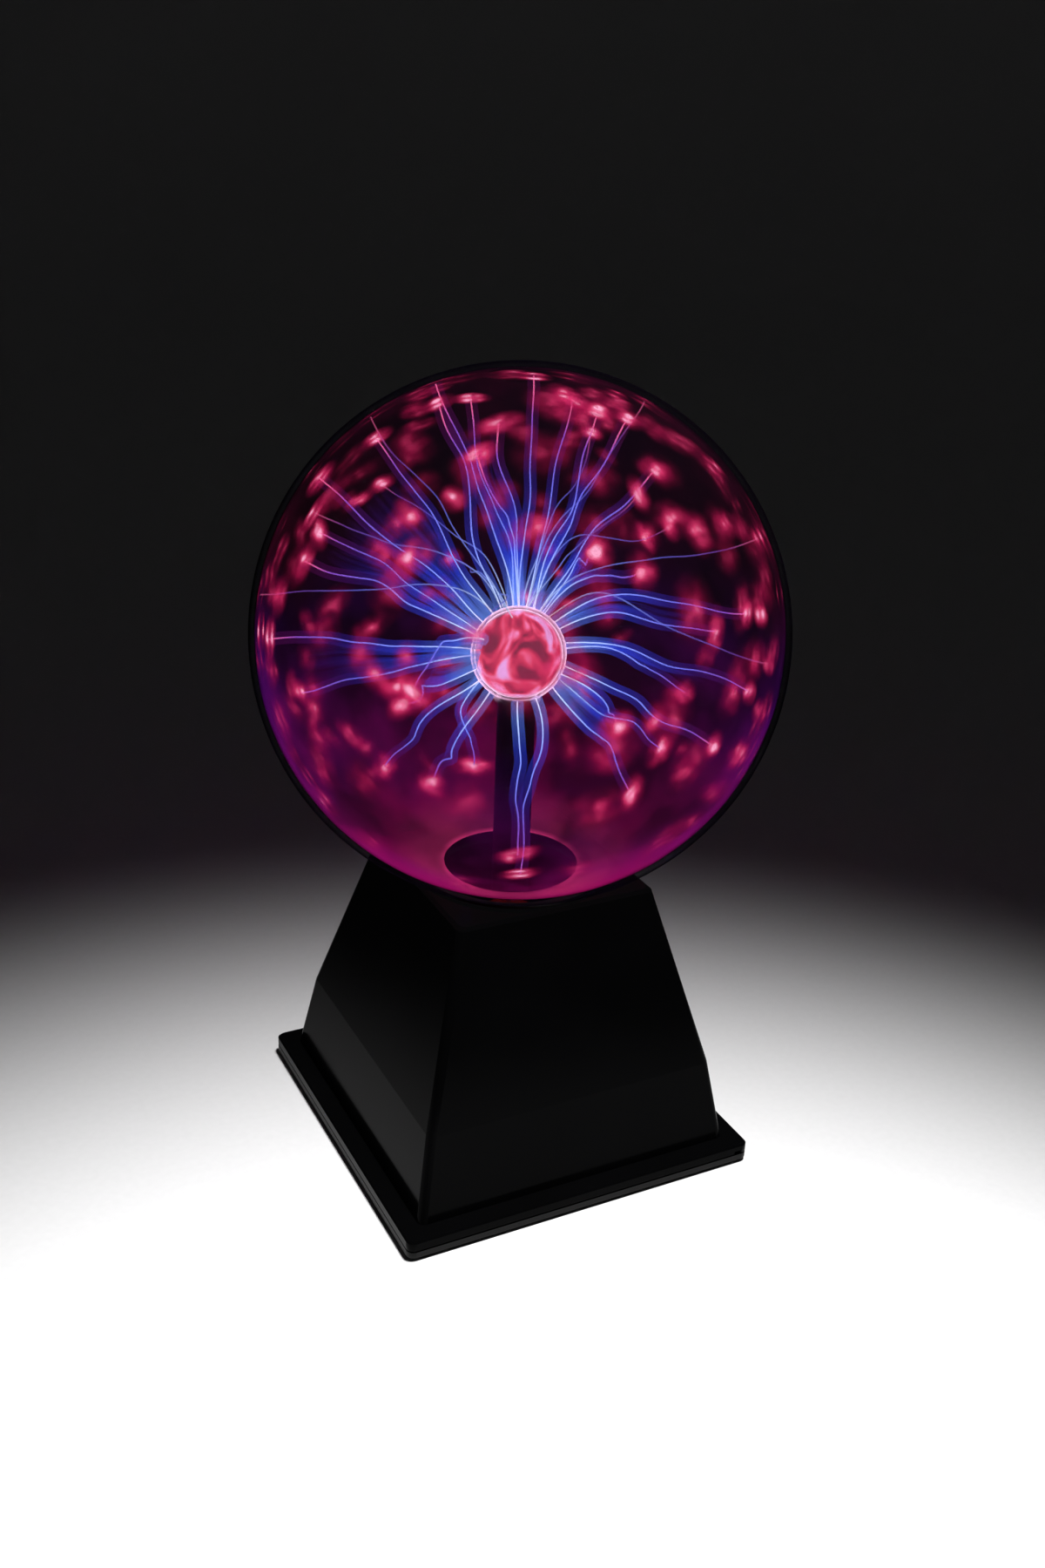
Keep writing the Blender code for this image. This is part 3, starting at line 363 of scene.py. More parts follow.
def filament_path(contact, root, phase, sway, count=48):
    """Points of one filament: out of the bulb, arching, wandering a little, to its contact on the glass."""
    end = GLOBE_CENTRE + contact * CONTACT_REACH
    start = BULB_CENTRE + root * BULB_RADIUS
    aim = (end - start).normalized()
    span = (end - start).length
    # The two handles of the arch: the filament leaves nearly square to the bulb and lands aslant
    first = start + (root * 0.75 + aim * 0.25).normalized() * span * 0.40
    last = end - (contact * 0.5 + aim * 0.5).normalized() * span * 0.35
    across = aim.orthogonal().normalized()
    over = aim.cross(across)
    points = []
    for i in range(count):
        t = i / (count - 1)
        s = 1 - t
        place = start * s ** 3 + first * 3 * s * s * t + last * 3 * s * t * t + end * t ** 3
        swing = sway * math.sin(math.pi * t) ** 0.8
        wander = Vector((phase * 7.3, 2.2 * t, phase * 1.9))
        tremor = Vector((phase * 3.1, 6.0 * t, phase))
        points.append(place + across * swing * (noise.noise(wander) + 0.1 * noise.noise(tremor))
                      + over * swing * (noise.noise(wander + Vector((31, 0, 0)))
                                        + 0.1 * noise.noise(tremor + Vector((17, 0, 0)))))
    return points


def all_filaments(settings):
    """Bright and faint filaments, each as its path, its contact direction and its weight."""
    bright = []
    for number, (azimuth, elevation, root_azimuth, root_elevation, weight, _) in enumerate(FILAMENTS):
        contact = direction(azimuth, elevation)
        root = direction(root_azimuth, root_elevation)
        bright.append((filament_path(contact, root, number + 1, settings.sway), contact, weight))
    chooser = random.Random(settings.seed)
    faint = []
    golden = math.pi * (3 - math.sqrt(5))
    for number in range(settings.extra):
        height = 0.92 - 0.95 * (number + 0.5) / settings.extra
        turn = number * golden + chooser.uniform(-0.2, 0.2)
        flat = math.sqrt(1 - height * height)
        contact = Vector((flat * math.cos(turn), flat * math.sin(turn), height))
        root = (contact + Vector((0, 0.3, chooser.uniform(1.0, 2.4)))).normalized()
        faint.append((filament_path(contact, root, number + 60, settings.sway * 1.4), contact, 0.6))
    return bright, faint


def curve_object(name, strands, taper):
    """A curve with one poly spline for each (path, weight); taper gives its radius from root to glass."""
    curve = bpy.data.curves.new(name, "CURVE")
    curve.dimensions = "3D"
    for path, weight in strands:
        spline = curve.splines.new("POLY")
        spline.points.add(len(path) - 1)
        for i, (point, place) in enumerate(zip(spline.points, path)):
            point.co = (*place, 1.0)
            point.radius = weight * taper(i / (len(path) - 1))
    return new_object(name, curve)


def new_geometry_tree(name, **values):
    """An empty node tree that takes geometry and the named values, and gives geometry."""
    tree = bpy.data.node_groups.new(name, "GeometryNodeTree")
    for title, kind in (("Geometry", "Geometry"), *values.items()):
        tree.interface.new_socket(title, in_out="INPUT", socket_type=f"NodeSocket{kind}")
    tree.interface.new_socket("Geometry", in_out="OUTPUT", socket_type="NodeSocketGeometry")
    return tree


def tube_tree():
    """Geometry Nodes: sweep every spline into a closed tube of the given radius."""
    tree = new_geometry_tree("filament_tubes", Radius="Float", Sides="Int", Material="Material")
    entry = add_node(tree, "NodeGroupInput")
    ring = add_node(tree, "GeometryNodeCurvePrimitiveCircle", {
        "Resolution": entry.outputs["Sides"], "Radius": entry.outputs["Radius"]})
    sweep = add_node(tree, "GeometryNodeCurveToMesh", {
        "Curve": entry.outputs["Geometry"], "Profile Curve": ring.outputs["Curve"], "Fill Caps": True})
    smooth = add_node(tree, "GeometryNodeSetShadeSmooth", {"Geometry": sweep.outputs["Mesh"]})
    real = add_node(tree, "GeometryNodeRealizeInstances", {"Geometry": smooth.outputs["Geometry"]})
    paint = add_node(tree, "GeometryNodeSetMaterial", {
        "Geometry": real.outputs["Geometry"], "Material": entry.outputs["Material"]})
    add_node(tree, "NodeGroupOutput", {"Geometry": paint.outputs["Geometry"]})
    return tree


def contact_tree():
    """Geometry Nodes: a shallow lens on every point, bent to the glass; "glow" is 1 in its middle."""
    tree = new_geometry_tree("contact_glows", Size="Float", Centre="Vector", Material="Material")
    entry = add_node(tree, "NodeGroupInput")
    ball = add_node(tree, "GeometryNodeMeshUVSphere", {"Segments": 16, "Rings": 16, "Radius": 1.0})
    place = add_node(tree, "GeometryNodeInputPosition")
    flat = add_node(tree, "ShaderNodeVectorMath", {0: place.outputs["Position"], 1: (1.0, 1.0, 0.0)},
                    operation="MULTIPLY")
    out = add_node(tree, "ShaderNodeVectorMath", {0: flat.outputs["Vector"]}, operation="LENGTH")
    glow = add_node(tree, "ShaderNodeMath", {0: 1.0, 1: out.outputs["Value"]}, operation="SUBTRACT")
    marked = add_node(tree, "GeometryNodeStoreNamedAttribute", {
        "Geometry": ball.outputs["Mesh"], "Name": "glow", "Value": glow.outputs["Value"]},
        data_type="FLOAT", domain="POINT")
    lens = add_node(tree, "GeometryNodeTransform", {"Geometry": marked.outputs["Geometry"],
                                                    "Scale": (1.0, 1.0, 0.14)})
    way = add_node(tree, "GeometryNodeInputNamedAttribute", {"Name": "way"}, data_type="FLOAT_VECTOR")
    turn = add_node(tree, "FunctionNodeAlignRotationToVector", {"Vector": way.outputs["Attribute"]},
                    axis="Z")
    spread = add_node(tree, "GeometryNodeInputNamedAttribute", {"Name": "spread"},
                      data_type="FLOAT_VECTOR")
    size = add_node(tree, "ShaderNodeVectorMath", {0: spread.outputs["Attribute"],
                                                   "Scale": entry.outputs["Size"]}, operation="SCALE")
    copies = add_node(tree, "GeometryNodeInstanceOnPoints", {
        "Points": entry.outputs["Geometry"], "Instance": lens.outputs["Geometry"],
        "Rotation": turn.outputs["Rotation"], "Scale": size.outputs["Vector"]})
    real = add_node(tree, "GeometryNodeRealizeInstances", {"Geometry": copies.outputs["Instances"]})
    from_centre = add_node(tree, "ShaderNodeVectorMath", {0: place.outputs["Position"],
                                                          1: entry.outputs["Centre"]}, operation="SUBTRACT")
    reach = add_node(tree, "ShaderNodeVectorMath", {0: from_centre.outputs["Vector"],
                                                    1: way.outputs["Attribute"]}, operation="DOT_PRODUCT")
    heading = add_node(tree, "ShaderNodeVectorMath", {0: from_centre.outputs["Vector"]},
                       operation="NORMALIZE")
    moved = add_node(tree, "ShaderNodeVectorMath", {0: heading.outputs["Vector"],
                                                    "Scale": reach.outputs["Value"]}, operation="SCALE")
    bent_place = add_node(tree, "ShaderNodeVectorMath", {0: moved.outputs["Vector"],
                                                         1: entry.outputs["Centre"]}, operation="ADD")
    bent = add_node(tree, "GeometryNodeSetPosition", {"Geometry": real.outputs["Geometry"],
                                                      "Position": bent_place.outputs["Vector"]})
    smooth = add_node(tree, "GeometryNodeSetShadeSmooth", {"Geometry": bent.outputs["Geometry"]})
    paint = add_node(tree, "GeometryNodeSetMaterial", {
        "Geometry": smooth.outputs["Geometry"], "Material": entry.outputs["Material"]})
    add_node(tree, "NodeGroupOutput", {"Geometry": paint.outputs["Geometry"]})
    return tree


def grown_mesh(carrier, tree, values, name):
    """Run a node tree on a carrier object and keep the result as a plain mesh."""
    modifier = carrier.modifiers.new(tree.name, "NODES")
    modifier.node_group = tree
    for item in tree.interface.items_tree:
        if item.in_out == "INPUT" and item.name in values:
            modifier[item.identifier] = values[item.name]
    return plain_mesh(carrier, name)


def plain_mesh(carrier, name):
    """The carrier object with its modifiers worked out, as a plain mesh; the carrier goes."""
    bpy.context.view_layer.update()
    graph = bpy.context.evaluated_depsgraph_get()
    mesh = bpy.data.meshes.new_from_object(carrier.evaluated_get(graph))
    mesh.name = name
    bpy.data.objects.remove(carrier)
    if not mesh.polygons:
        raise RuntimeError(f"{name} came out empty")
    return mesh


# ------------------------------------------------------------------ operators

class PLASMA_OT_globe(bpy.types.Operator):
    """Blow the globe with its neck as one smooth glass shell"""
    bl_idname = "plasma.globe"
    bl_label = "Glass Globe"

    def execute(self, context):
        glass = context.scene.plasma_glass
        wall = glass.wall
        radius = GLOBE_RADIUS - 0.05 * MM               # a hair inside the frame's own globe
        shoulder = glass.neck_radius + 4 * MM           # where the ball starts to turn into the neck
        neck_top = GLOBE_CENTRE.z - radius + 1 * MM     # where the neck runs straight down
        steps = 7

        def skin(ball_radius, shoulder_radius, neck_radius):
            low = math.pi - math.asin(shoulder_radius / ball_radius)
            points = arc(GLOBE_CENTRE.z, ball_radius, 0.0, low, 70)
            start_radius, start_height = points[-1]
            for step in range(1, steps + 1):
                turn = math.pi / 2 * step / steps
                points.append((start_radius - (start_radius - neck_radius) * math.sin(turn),
                               start_height - (start_height - neck_top) * (1 - math.cos(turn))))
            return points

        outer = skin(radius, shoulder, glass.neck_radius) + [(glass.neck_radius, NECK_BOTTOM)]
        inner = skin(radius - wall, shoulder - wall, glass.neck_radius - wall)
        inner += [(glass.neck_radius - wall, NECK_BOTTOM)]
        mesh = turned_mesh("blown_globe", outer + inner[::-1], 128)
        piece = link_piece(mesh, "blown_globe", blown_glass())
        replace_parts(piece, "glass_globe")
        return {"FINISHED"}


class PLASMA_OT_electrode(bpy.types.Operator):
    """Make the electrode: the glass bulb with its stem and flare, and the glowing wool in the bulb"""
    bl_idname = "plasma.electrode"
    bl_label = "Electrode"

    def execute(self, context):
        stem = context.scene.plasma_glass.stem_radius
        wall = 1.3 * MM
        neck_in = math.pi - math.asin(stem / BULB_RADIUS)
        outer = arc(BULB_CENTRE.z, BULB_RADIUS, 0.0, neck_in, 40)
        outer += [(stem, FLARE_BOTTOM + 9 * MM), (stem + 1.2 * MM, FLARE_BOTTOM + 5 * MM),
                  (stem + 5 * MM, FLARE_BOTTOM + 2.4 * MM), (FLARE_RADIUS, FLARE_BOTTOM + 1.6 * MM)]
        inner_radius = BULB_RADIUS - wall
        inner = [(FLARE_RADIUS, FLARE_BOTTOM), (stem + 4 * MM, FLARE_BOTTOM + 0.8 * MM),
                 (stem - 0.2 * MM, FLARE_BOTTOM + 4 * MM), (stem - wall, FLARE_BOTTOM + 8 * MM)]
        inner += arc(BULB_CENTRE.z, inner_radius, math.pi - math.asin((stem - wall) / inner_radius), 0.0, 40)
        bulb = link_piece(turned_mesh("bulb_and_stem", outer + inner, 64), "bulb_and_stem",
                          self.sheath())
        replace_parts(bulb, "electrode_bulb")

        wool = turned_mesh("glowing_wool", arc(BULB_CENTRE.z, WOOL_HIGH.x, 0.0, math.pi, 40), 64)
        core = link_piece(wool, "glowing_wool", self.wool())
        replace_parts(core, "electrode_wool")
        return {"FINISHED"}

    def wool(self):
        """Crumpled wool lit from within: white-pink knots, red between them, and dark crimson hollows."""
        knot = 15.4 * MM
        crumple = Vector((851.5, 425.75, 0))    # picks which knots face the camera

        def colour(tree):
            place = add_node(tree, "ShaderNodeTexCoord").outputs["Object"]
            centred = add_node(tree, "ShaderNodeMapping", {
                "Vector": place, "Scale": grey(1 / knot), "Location": crumple - BULB_CENTRE / knot})
            patches = add_node(tree, "ShaderNodeTexNoise", {
                "Vector": centred.outputs["Vector"], "Scale": 1.0, "Detail": 1.5, "Distortion": 1.2})
            ramp = add_node(tree, "ShaderNodeValToRGB", {"Fac": patches.outputs["Fac"]}, stops=[
                (0.37, hex_colour("#78002D")), (0.44, hex_colour("#BE1446")),
                (0.49, hex_colour("#E6375F")), (0.55, hex_colour("#FF78AF")),
                (0.62, hex_colour("#F5AAF0"))])
            return ramp.outputs["Color"]
        return glow_material("glowing_metal_wool", colour, 2.6, constant(1.0))

    def sheath(self):
        """The luminous layer on the bulb's glass, seen edge-on as a near-white pink rim; clear below."""
        mat, tree, output = new_material("glow_on_bulb_glass")
        place = add_node(tree, "ShaderNodeTexCoord").outputs["Object"]
        edge = add_node(tree, "ShaderNodeLayerWeight", {"Blend": 0.35})
        rim = add_node(tree, "ShaderNodeMapRange", {"Value": edge.outputs["Facing"], "From Min": 0.48,
                                                    "From Max": 0.82, "To Min": 0.02, "To Max": 0.85})
        height = add_node(tree, "ShaderNodeSeparateXYZ", {"Vector": place})
        on_bulb = add_node(tree, "ShaderNodeMapRange", {
            "Value": height.outputs["Z"], "From Min": BULB_CENTRE.z - BULB_RADIUS,
            "From Max": BULB_CENTRE.z - BULB_RADIUS * 0.8, "To Min": 0.0, "To Max": 1.0})
        alpha = add_node(tree, "ShaderNodeMath", {0: rim.outputs["Result"], 1: on_bulb.outputs["Result"]},
                         operation="MULTIPLY")
        shader = add_node(tree, "ShaderNodeBsdfPrincipled", {
            "Base Color": (0, 0, 0, 1), "Roughness": 0.3, "Emission Color": (*hex_colour("#FFC8F0"), 1),
            "Emission Strength": 3.6, "Alpha": alpha.outputs["Value"]})
        tree.links.new(shader.outputs["BSDF"], output.inputs["Surface"])
        mat.cycles.emission_sampling = "NONE"
        return mat


class PLASMA_OT_filaments(bpy.types.Operator):
    """Grow the filaments, their halos and the veils between neighbours"""
    bl_idname = "plasma.filaments"
    bl_label = "Filaments"

    def execute(self, context):
        settings = context.scene.plasma_discharge
        bright, faint = all_filaments(settings)
        tree = tube_tree()
        core = glow_material("filament_core", filament_colour, 3.3, fading_alpha(1.0, 0.40))
        thin = glow_material("faint_filament", filament_colour, 2.6, fading_alpha(0.45, 0.16))
        halo = glow_material("filament_halo", halo_colour, 4.0, fading_alpha(0.12, 0.025))
        cores = [(path, weight) for path, _, weight in bright]
        halos = [(path, weight * layer) for path, _, weight in bright for layer in HALO_LAYERS]
        threads = [(path, weight) for path, _, weight in faint]
        for name, strands, radius, mat, taper in (
                ("filament_cores", cores, settings.core_radius, core, self.core_taper),
                ("filament_halos", halos, settings.halo_radius, halo, self.halo_taper),
                ("faint_filaments", threads, settings.core_radius, thin, self.core_taper)):
            carrier = curve_object(name, strands, taper)
            mesh = grown_mesh(carrier, tree, {"Radius": radius, "Sides": 8, "Material": mat}, name)
            link_piece(mesh, name, mat)
        self.veils([path for path, _, _ in bright])
        return {"FINISHED"}

    def core_taper(self, t):
        """A core is thick at its root, thin along its run, and thickens a little at the glass."""
        return 0.75 + 1.5 * math.exp(-16 * t) + 0.5 * math.exp(-20 * (1 - t))

    def halo_taper(self, t):
        """A halo widens steadily towards the glass."""
        return 0.8 + 0.35 * t

    def veils(self, paths):
        """Thin luminous sheets between neighbouring filaments, as one mesh with a map of its own."""
        bm = bmesh.new()
        layer = bm.loops.layers.uv.new("along_across")
        rows, columns = 30, 8
        slack = 0.08    # how far a sheet's middle is drawn in, as a share of its way to the bulb
        for number, (*_, partner) in enumerate(FILAMENTS):
            if partner is None:
                continue
            grid = []
            for i in range(rows):
                t = i / (rows - 1)
                spot = int(t * (len(paths[number]) - 1))
                one, two = paths[number][spot], paths[partner][spot]
                sag = (BULB_CENTRE - (one + two) / 2) * slack * t
                grid.append([bm.verts.new(one.lerp(two, j / (columns - 1))
                                          + sag * math.sin(math.pi * j / (columns - 1)))
                             for j in range(columns)])
            for i in range(rows - 1):
                for j in range(columns - 1):
                    face = bm.faces.new((grid[i][j], grid[i][j + 1], grid[i + 1][j + 1], grid[i + 1][j]))
                    face.smooth = True
                    for loop, (a, b) in zip(face.loops, ((i, j), (i, j + 1), (i + 1, j + 1), (i + 1, j))):
                        loop[layer].uv = (a / (rows - 1), b / (columns - 1) + number)
        mesh = bpy.data.meshes.new("blue_veils")
        bm.to_mesh(mesh)
        bm.free()
        sheets = link_piece(mesh, "blue_veils", self.veil_material())
        sheets.modifiers.new("Thickness", "SOLIDIFY").thickness = 0.15 * MM

    def veil_material(self):
        """Sheets of glow between filaments: blue, streaked along their run, gone before the glass."""
        def alpha(tree):
            uv = add_node(tree, "ShaderNodeUVMap", uv_map="along_across").outputs["UV"]
            stretched = add_node(tree, "ShaderNodeMapping", {"Vector": uv, "Scale": (1.2, 7.0, 1.0)})
            streaks = add_node(tree, "ShaderNodeTexNoise", {"Vector": stretched.outputs["Vector"],
                                                            "Scale": 1.0, "Detail": 2.0})
            _, along = from_bulb(tree)
            fade = add_node(tree, "ShaderNodeMapRange", {"Value": along, "From Max": 0.8, "To Min": 0.55,
                                                         "To Max": 0.0})
            lines = add_node(tree, "ShaderNodeMapRange", {"Value": streaks.outputs["Fac"],
                                                          "From Min": 0.35, "From Max": 0.65})
            return add_node(tree, "ShaderNodeMath", {0: fade.outputs["Result"], 1: lines.outputs["Result"]},
                            operation="MULTIPLY").outputs["Value"]
        return glow_material("blue_veil", halo_colour, 2.3, alpha)


class PLASMA_OT_contacts(bpy.types.Operator):
    """Lay the pink glows where filaments touch the glass, and the magenta film low in the globe"""
    bl_idname = "plasma.contacts"
    bl_label = "Contact Glows"

    def execute(self, context):
        settings = context.scene.plasma_discharge
        bright, faint = all_filaments(settings)
        chooser = random.Random(settings.seed + 1)
        # Each spot is its direction, its size as a share of the glow size, and its brightness
        spots = [(contact, chooser.uniform(1.1, 1.6), 1.0) for _, contact, _ in bright]
        spots += [(direction(*place), chooser.uniform(1.0, 1.7), chooser.uniform(0.6, 1.0))
                  for place in GLOWS]
        spots += [(contact, 1.1, 0.8) for _, contact, _ in faint]
        for _ in range(settings.glow_count):
            height = chooser.uniform(-0.8, 0.98)
            turn = chooser.uniform(0, math.tau)
            flat = math.sqrt(1 - height * height)
            spots.append((Vector((flat * math.cos(turn), flat * math.sin(turn), height)),
                          chooser.uniform(0.9, 2.2), chooser.uniform(0.12, 0.42)))
        mesh = bpy.data.meshes.new("contact_points")
        mesh.from_pydata([GLOBE_CENTRE + contact * CONTACT_REACH for contact, _, _ in spots], [], [])
        for name, kind in (("way", "FLOAT_VECTOR"), ("spread", "FLOAT_VECTOR"), ("level", "FLOAT")):
            mesh.attributes.new(name, kind, "POINT")
        for i, (contact, size, strength) in enumerate(spots):
            stretch = chooser.uniform(0.7, 1.5)
            mesh.attributes["way"].data[i].vector = contact
            mesh.attributes["spread"].data[i].vector = (size * stretch, size / stretch, min(size, 1.0))
            mesh.attributes["level"].data[i].value = strength
        mat = self.contact_material()
        values = {"Size": settings.glow_size, "Centre": tuple(GLOBE_CENTRE), "Material": mat}
        grown = grown_mesh(new_object("contact_points", mesh), contact_tree(), values, "contact_glows")
        link_piece(grown, "contact_glows", mat)
        self.film()
        return {"FINISHED"}

    def contact_material(self):
        """Hot pink middle that fades through red-pink to nothing, ragged like a brush discharge."""
        def shape(tree):
            place = add_node(tree, "ShaderNodeTexCoord").outputs["Object"]
            ragged = add_node(tree, "ShaderNodeTexNoise", {"Vector": place, "Scale": 1 / (5.26 * MM),
                                                           "Detail": 0.5})
            glow = add_node(tree, "ShaderNodeAttribute", attribute_name="glow").outputs["Fac"]
            lifted = add_node(tree, "ShaderNodeMapRange", {"Value": ragged.outputs["Fac"], "From Min": 0.3,
                                                           "From Max": 0.7, "To Min": 0.6, "To Max": 1.2})
            return add_node(tree, "ShaderNodeMath", {0: glow, 1: lifted.outputs["Result"]},
                            operation="MULTIPLY").outputs["Value"]

        def colour(tree):
            level = add_node(tree, "ShaderNodeAttribute", attribute_name="level").outputs["Fac"]
            heat = add_node(tree, "ShaderNodeMapRange", {"Value": level, "To Min": 0.5, "To Max": 1.0})
            heated = add_node(tree, "ShaderNodeMath", {0: shape(tree), 1: heat.outputs["Result"]},
                              operation="MULTIPLY")
            ramp = add_node(tree, "ShaderNodeValToRGB", {"Fac": heated.outputs["Value"]}, stops=[
                (0.0, hex_colour("#8C0A4B")), (0.40, hex_colour("#C81955")), (0.70, hex_colour("#F04178")),
                (0.95, hex_colour("#FFAACD"))])
            return ramp.outputs["Color"]

        def alpha(tree):
            soft = add_node(tree, "ShaderNodeMath", {0: shape(tree), 1: 2.0}, operation="POWER")
            level = add_node(tree, "ShaderNodeAttribute", attribute_name="level").outputs["Fac"]
            return add_node(tree, "ShaderNodeMath", {0: soft.outputs["Value"], 1: level},
                            operation="MULTIPLY").outputs["Value"]
        return glow_material("contact_glow", colour, 2.9, alpha)

    def film(self):
        """A luminous film just inside the glass, with patches, that thickens towards the neck."""
        depth, thickness = 2.4 * MM, 0.15 * MM
        crown = 0.15                        # angle of the open disc round the top
        low = math.pi - math.asin(0.27)     # angle where the film ends, above the neck
        outer = arc(GLOBE_CENTRE.z, GLOBE_RADIUS - depth, crown, low, 60)
        inner = arc(GLOBE_CENTRE.z, GLOBE_RADIUS - depth - thickness, crown, low, 60)
        mesh = turned_mesh("magenta_film", outer + inner[::-1], 96, closed=True)
        link_piece(mesh, "magenta_film", self.film_material())

    def film_material(self):
        """Recombination glow on the inner glass: violet haze above, magenta and dense low down."""
        def height(tree, low, high):
            place = add_node(tree, "ShaderNodeTexCoord").outputs["Object"]
            parts = add_node(tree, "ShaderNodeSeparateXYZ", {"Vector": place})
            return place, add_node(tree, "ShaderNodeMapRange", {
                "Value": parts.outputs["Z"], "From Min": GLOBE_CENTRE.z + low * GLOBE_RADIUS,
                "From Max": GLOBE_CENTRE.z + high * GLOBE_RADIUS}).outputs["Result"]

        def colour(tree):
            _, up = height(tree, -1.0, 0.3)
            ramp = add_node(tree, "ShaderNodeValToRGB", {"Fac": up}, stops=[
                (0.04, hex_colour("#FF468C")), (0.12, hex_colour("#D21478")), (0.30, hex_colour("#AA1482")),
                (0.7, hex_colour("#6E14A0")), (1.0, hex_colour("#A01E5A"))])
            return ramp.outputs["Color"]

        def alpha(tree):
            place, up = height(tree, -1.0, 0.25)
            cloud = add_node(tree, "ShaderNodeTexNoise", {"Vector": place, "Scale": 1 / (35.7 * MM),
                                                          "Detail": 3.0})
            patch = add_node(tree, "ShaderNodeMapRange", {"Value": cloud.outputs["Fac"], "From Min": 0.42,
                                                          "From Max": 0.68, "To Min": 0.2, "To Max": 1.0})
            dense = add_node(tree, "ShaderNodeValToRGB", {"Fac": up}, stops=[
                (0.030, grey(0.95)), (0.055, grey(0.32)), (0.45, grey(0.20)), (0.8, grey(0.05)),
                (1.0, grey(0.02))])
            edge = add_node(tree, "ShaderNodeLayerWeight", {"Blend": 0.5})
            rim = add_node(tree, "ShaderNodeMapRange", {"Value": edge.outputs["Facing"], "From Min": 0.55,
                                                        "From Max": 0.95, "To Min": 0.7, "To Max": 3.4})
            thick = add_node(tree, "ShaderNodeMath", {0: patch.outputs["Result"], 1: dense.outputs["Color"]},
                             operation="MULTIPLY")
            return add_node(tree, "ShaderNodeMath", {0: thick.outputs["Value"], 1: rim.outputs["Result"]},
                            operation="MULTIPLY", use_clamp=True).outputs["Value"]
        return glow_material("magenta_film", colour, 1.4, alpha)


class PLASMA_OT_base(bpy.types.Operator):
    """Round the edges of the base shell, its bottom plate, the switch bezel and the rocker"""
    bl_idname = "plasma.base"
    bl_label = "Moulded Base"

    def execute(self, context):
        gloss = moulded_gloss_abs()
        satin = moulded_finish("moulded_satin_abs", "#060606", "#0A0A0A", 0.42, 0.8 * MM, shine=0.12)
        self.softened("base_housing", "base_shell", gloss, "gloss_black_housing", 0.5 * MM, 250 * MM2)
        self.softened("bottom_plate", "base_plate", satin, "moulded_black_plate", 0.3 * MM, 250 * MM2)
        self.softened("switch_frame", "switch_bezel", satin, "switch_nylon", 0.35 * MM, 10 * MM2)
        self.softened("rocker_cap", "rocker_paddle", gloss, "rocker_gloss", 0.4 * MM, 10 * MM2, "rocker")
        return {"FINISHED"}

    def softened(self, node, name, mat, slot, width, flat_area, body=ROOT):
        """A merged copy of a CAD node with its edges rounded; faces over flat_area stay flat."""
        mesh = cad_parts[node].data.copy()
        bm = bmesh.new()
        bm.from_mesh(mesh)
        bmesh.ops.remove_doubles(bm, verts=bm.verts, dist=MERGE_DISTANCE)
        bmesh.ops.dissolve_limit(bm, angle_limit=math.radians(0.5), verts=bm.verts, edges=bm.edges)
        bm.to_mesh(mesh)
        bm.free()
        carrier = new_object(node, mesh)
        bevel = carrier.modifiers.new("Soft edges", "BEVEL")
        bevel.width = width
        bevel.segments = 3
        bevel.limit_method = "ANGLE"
        bevel.angle_limit = math.radians(35)
        rounded = plain_mesh(carrier, name)
        for face in rounded.polygons:
            face.use_smooth = face.area < flat_area
        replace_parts(link_piece(rounded, name, mat, body=body), node)


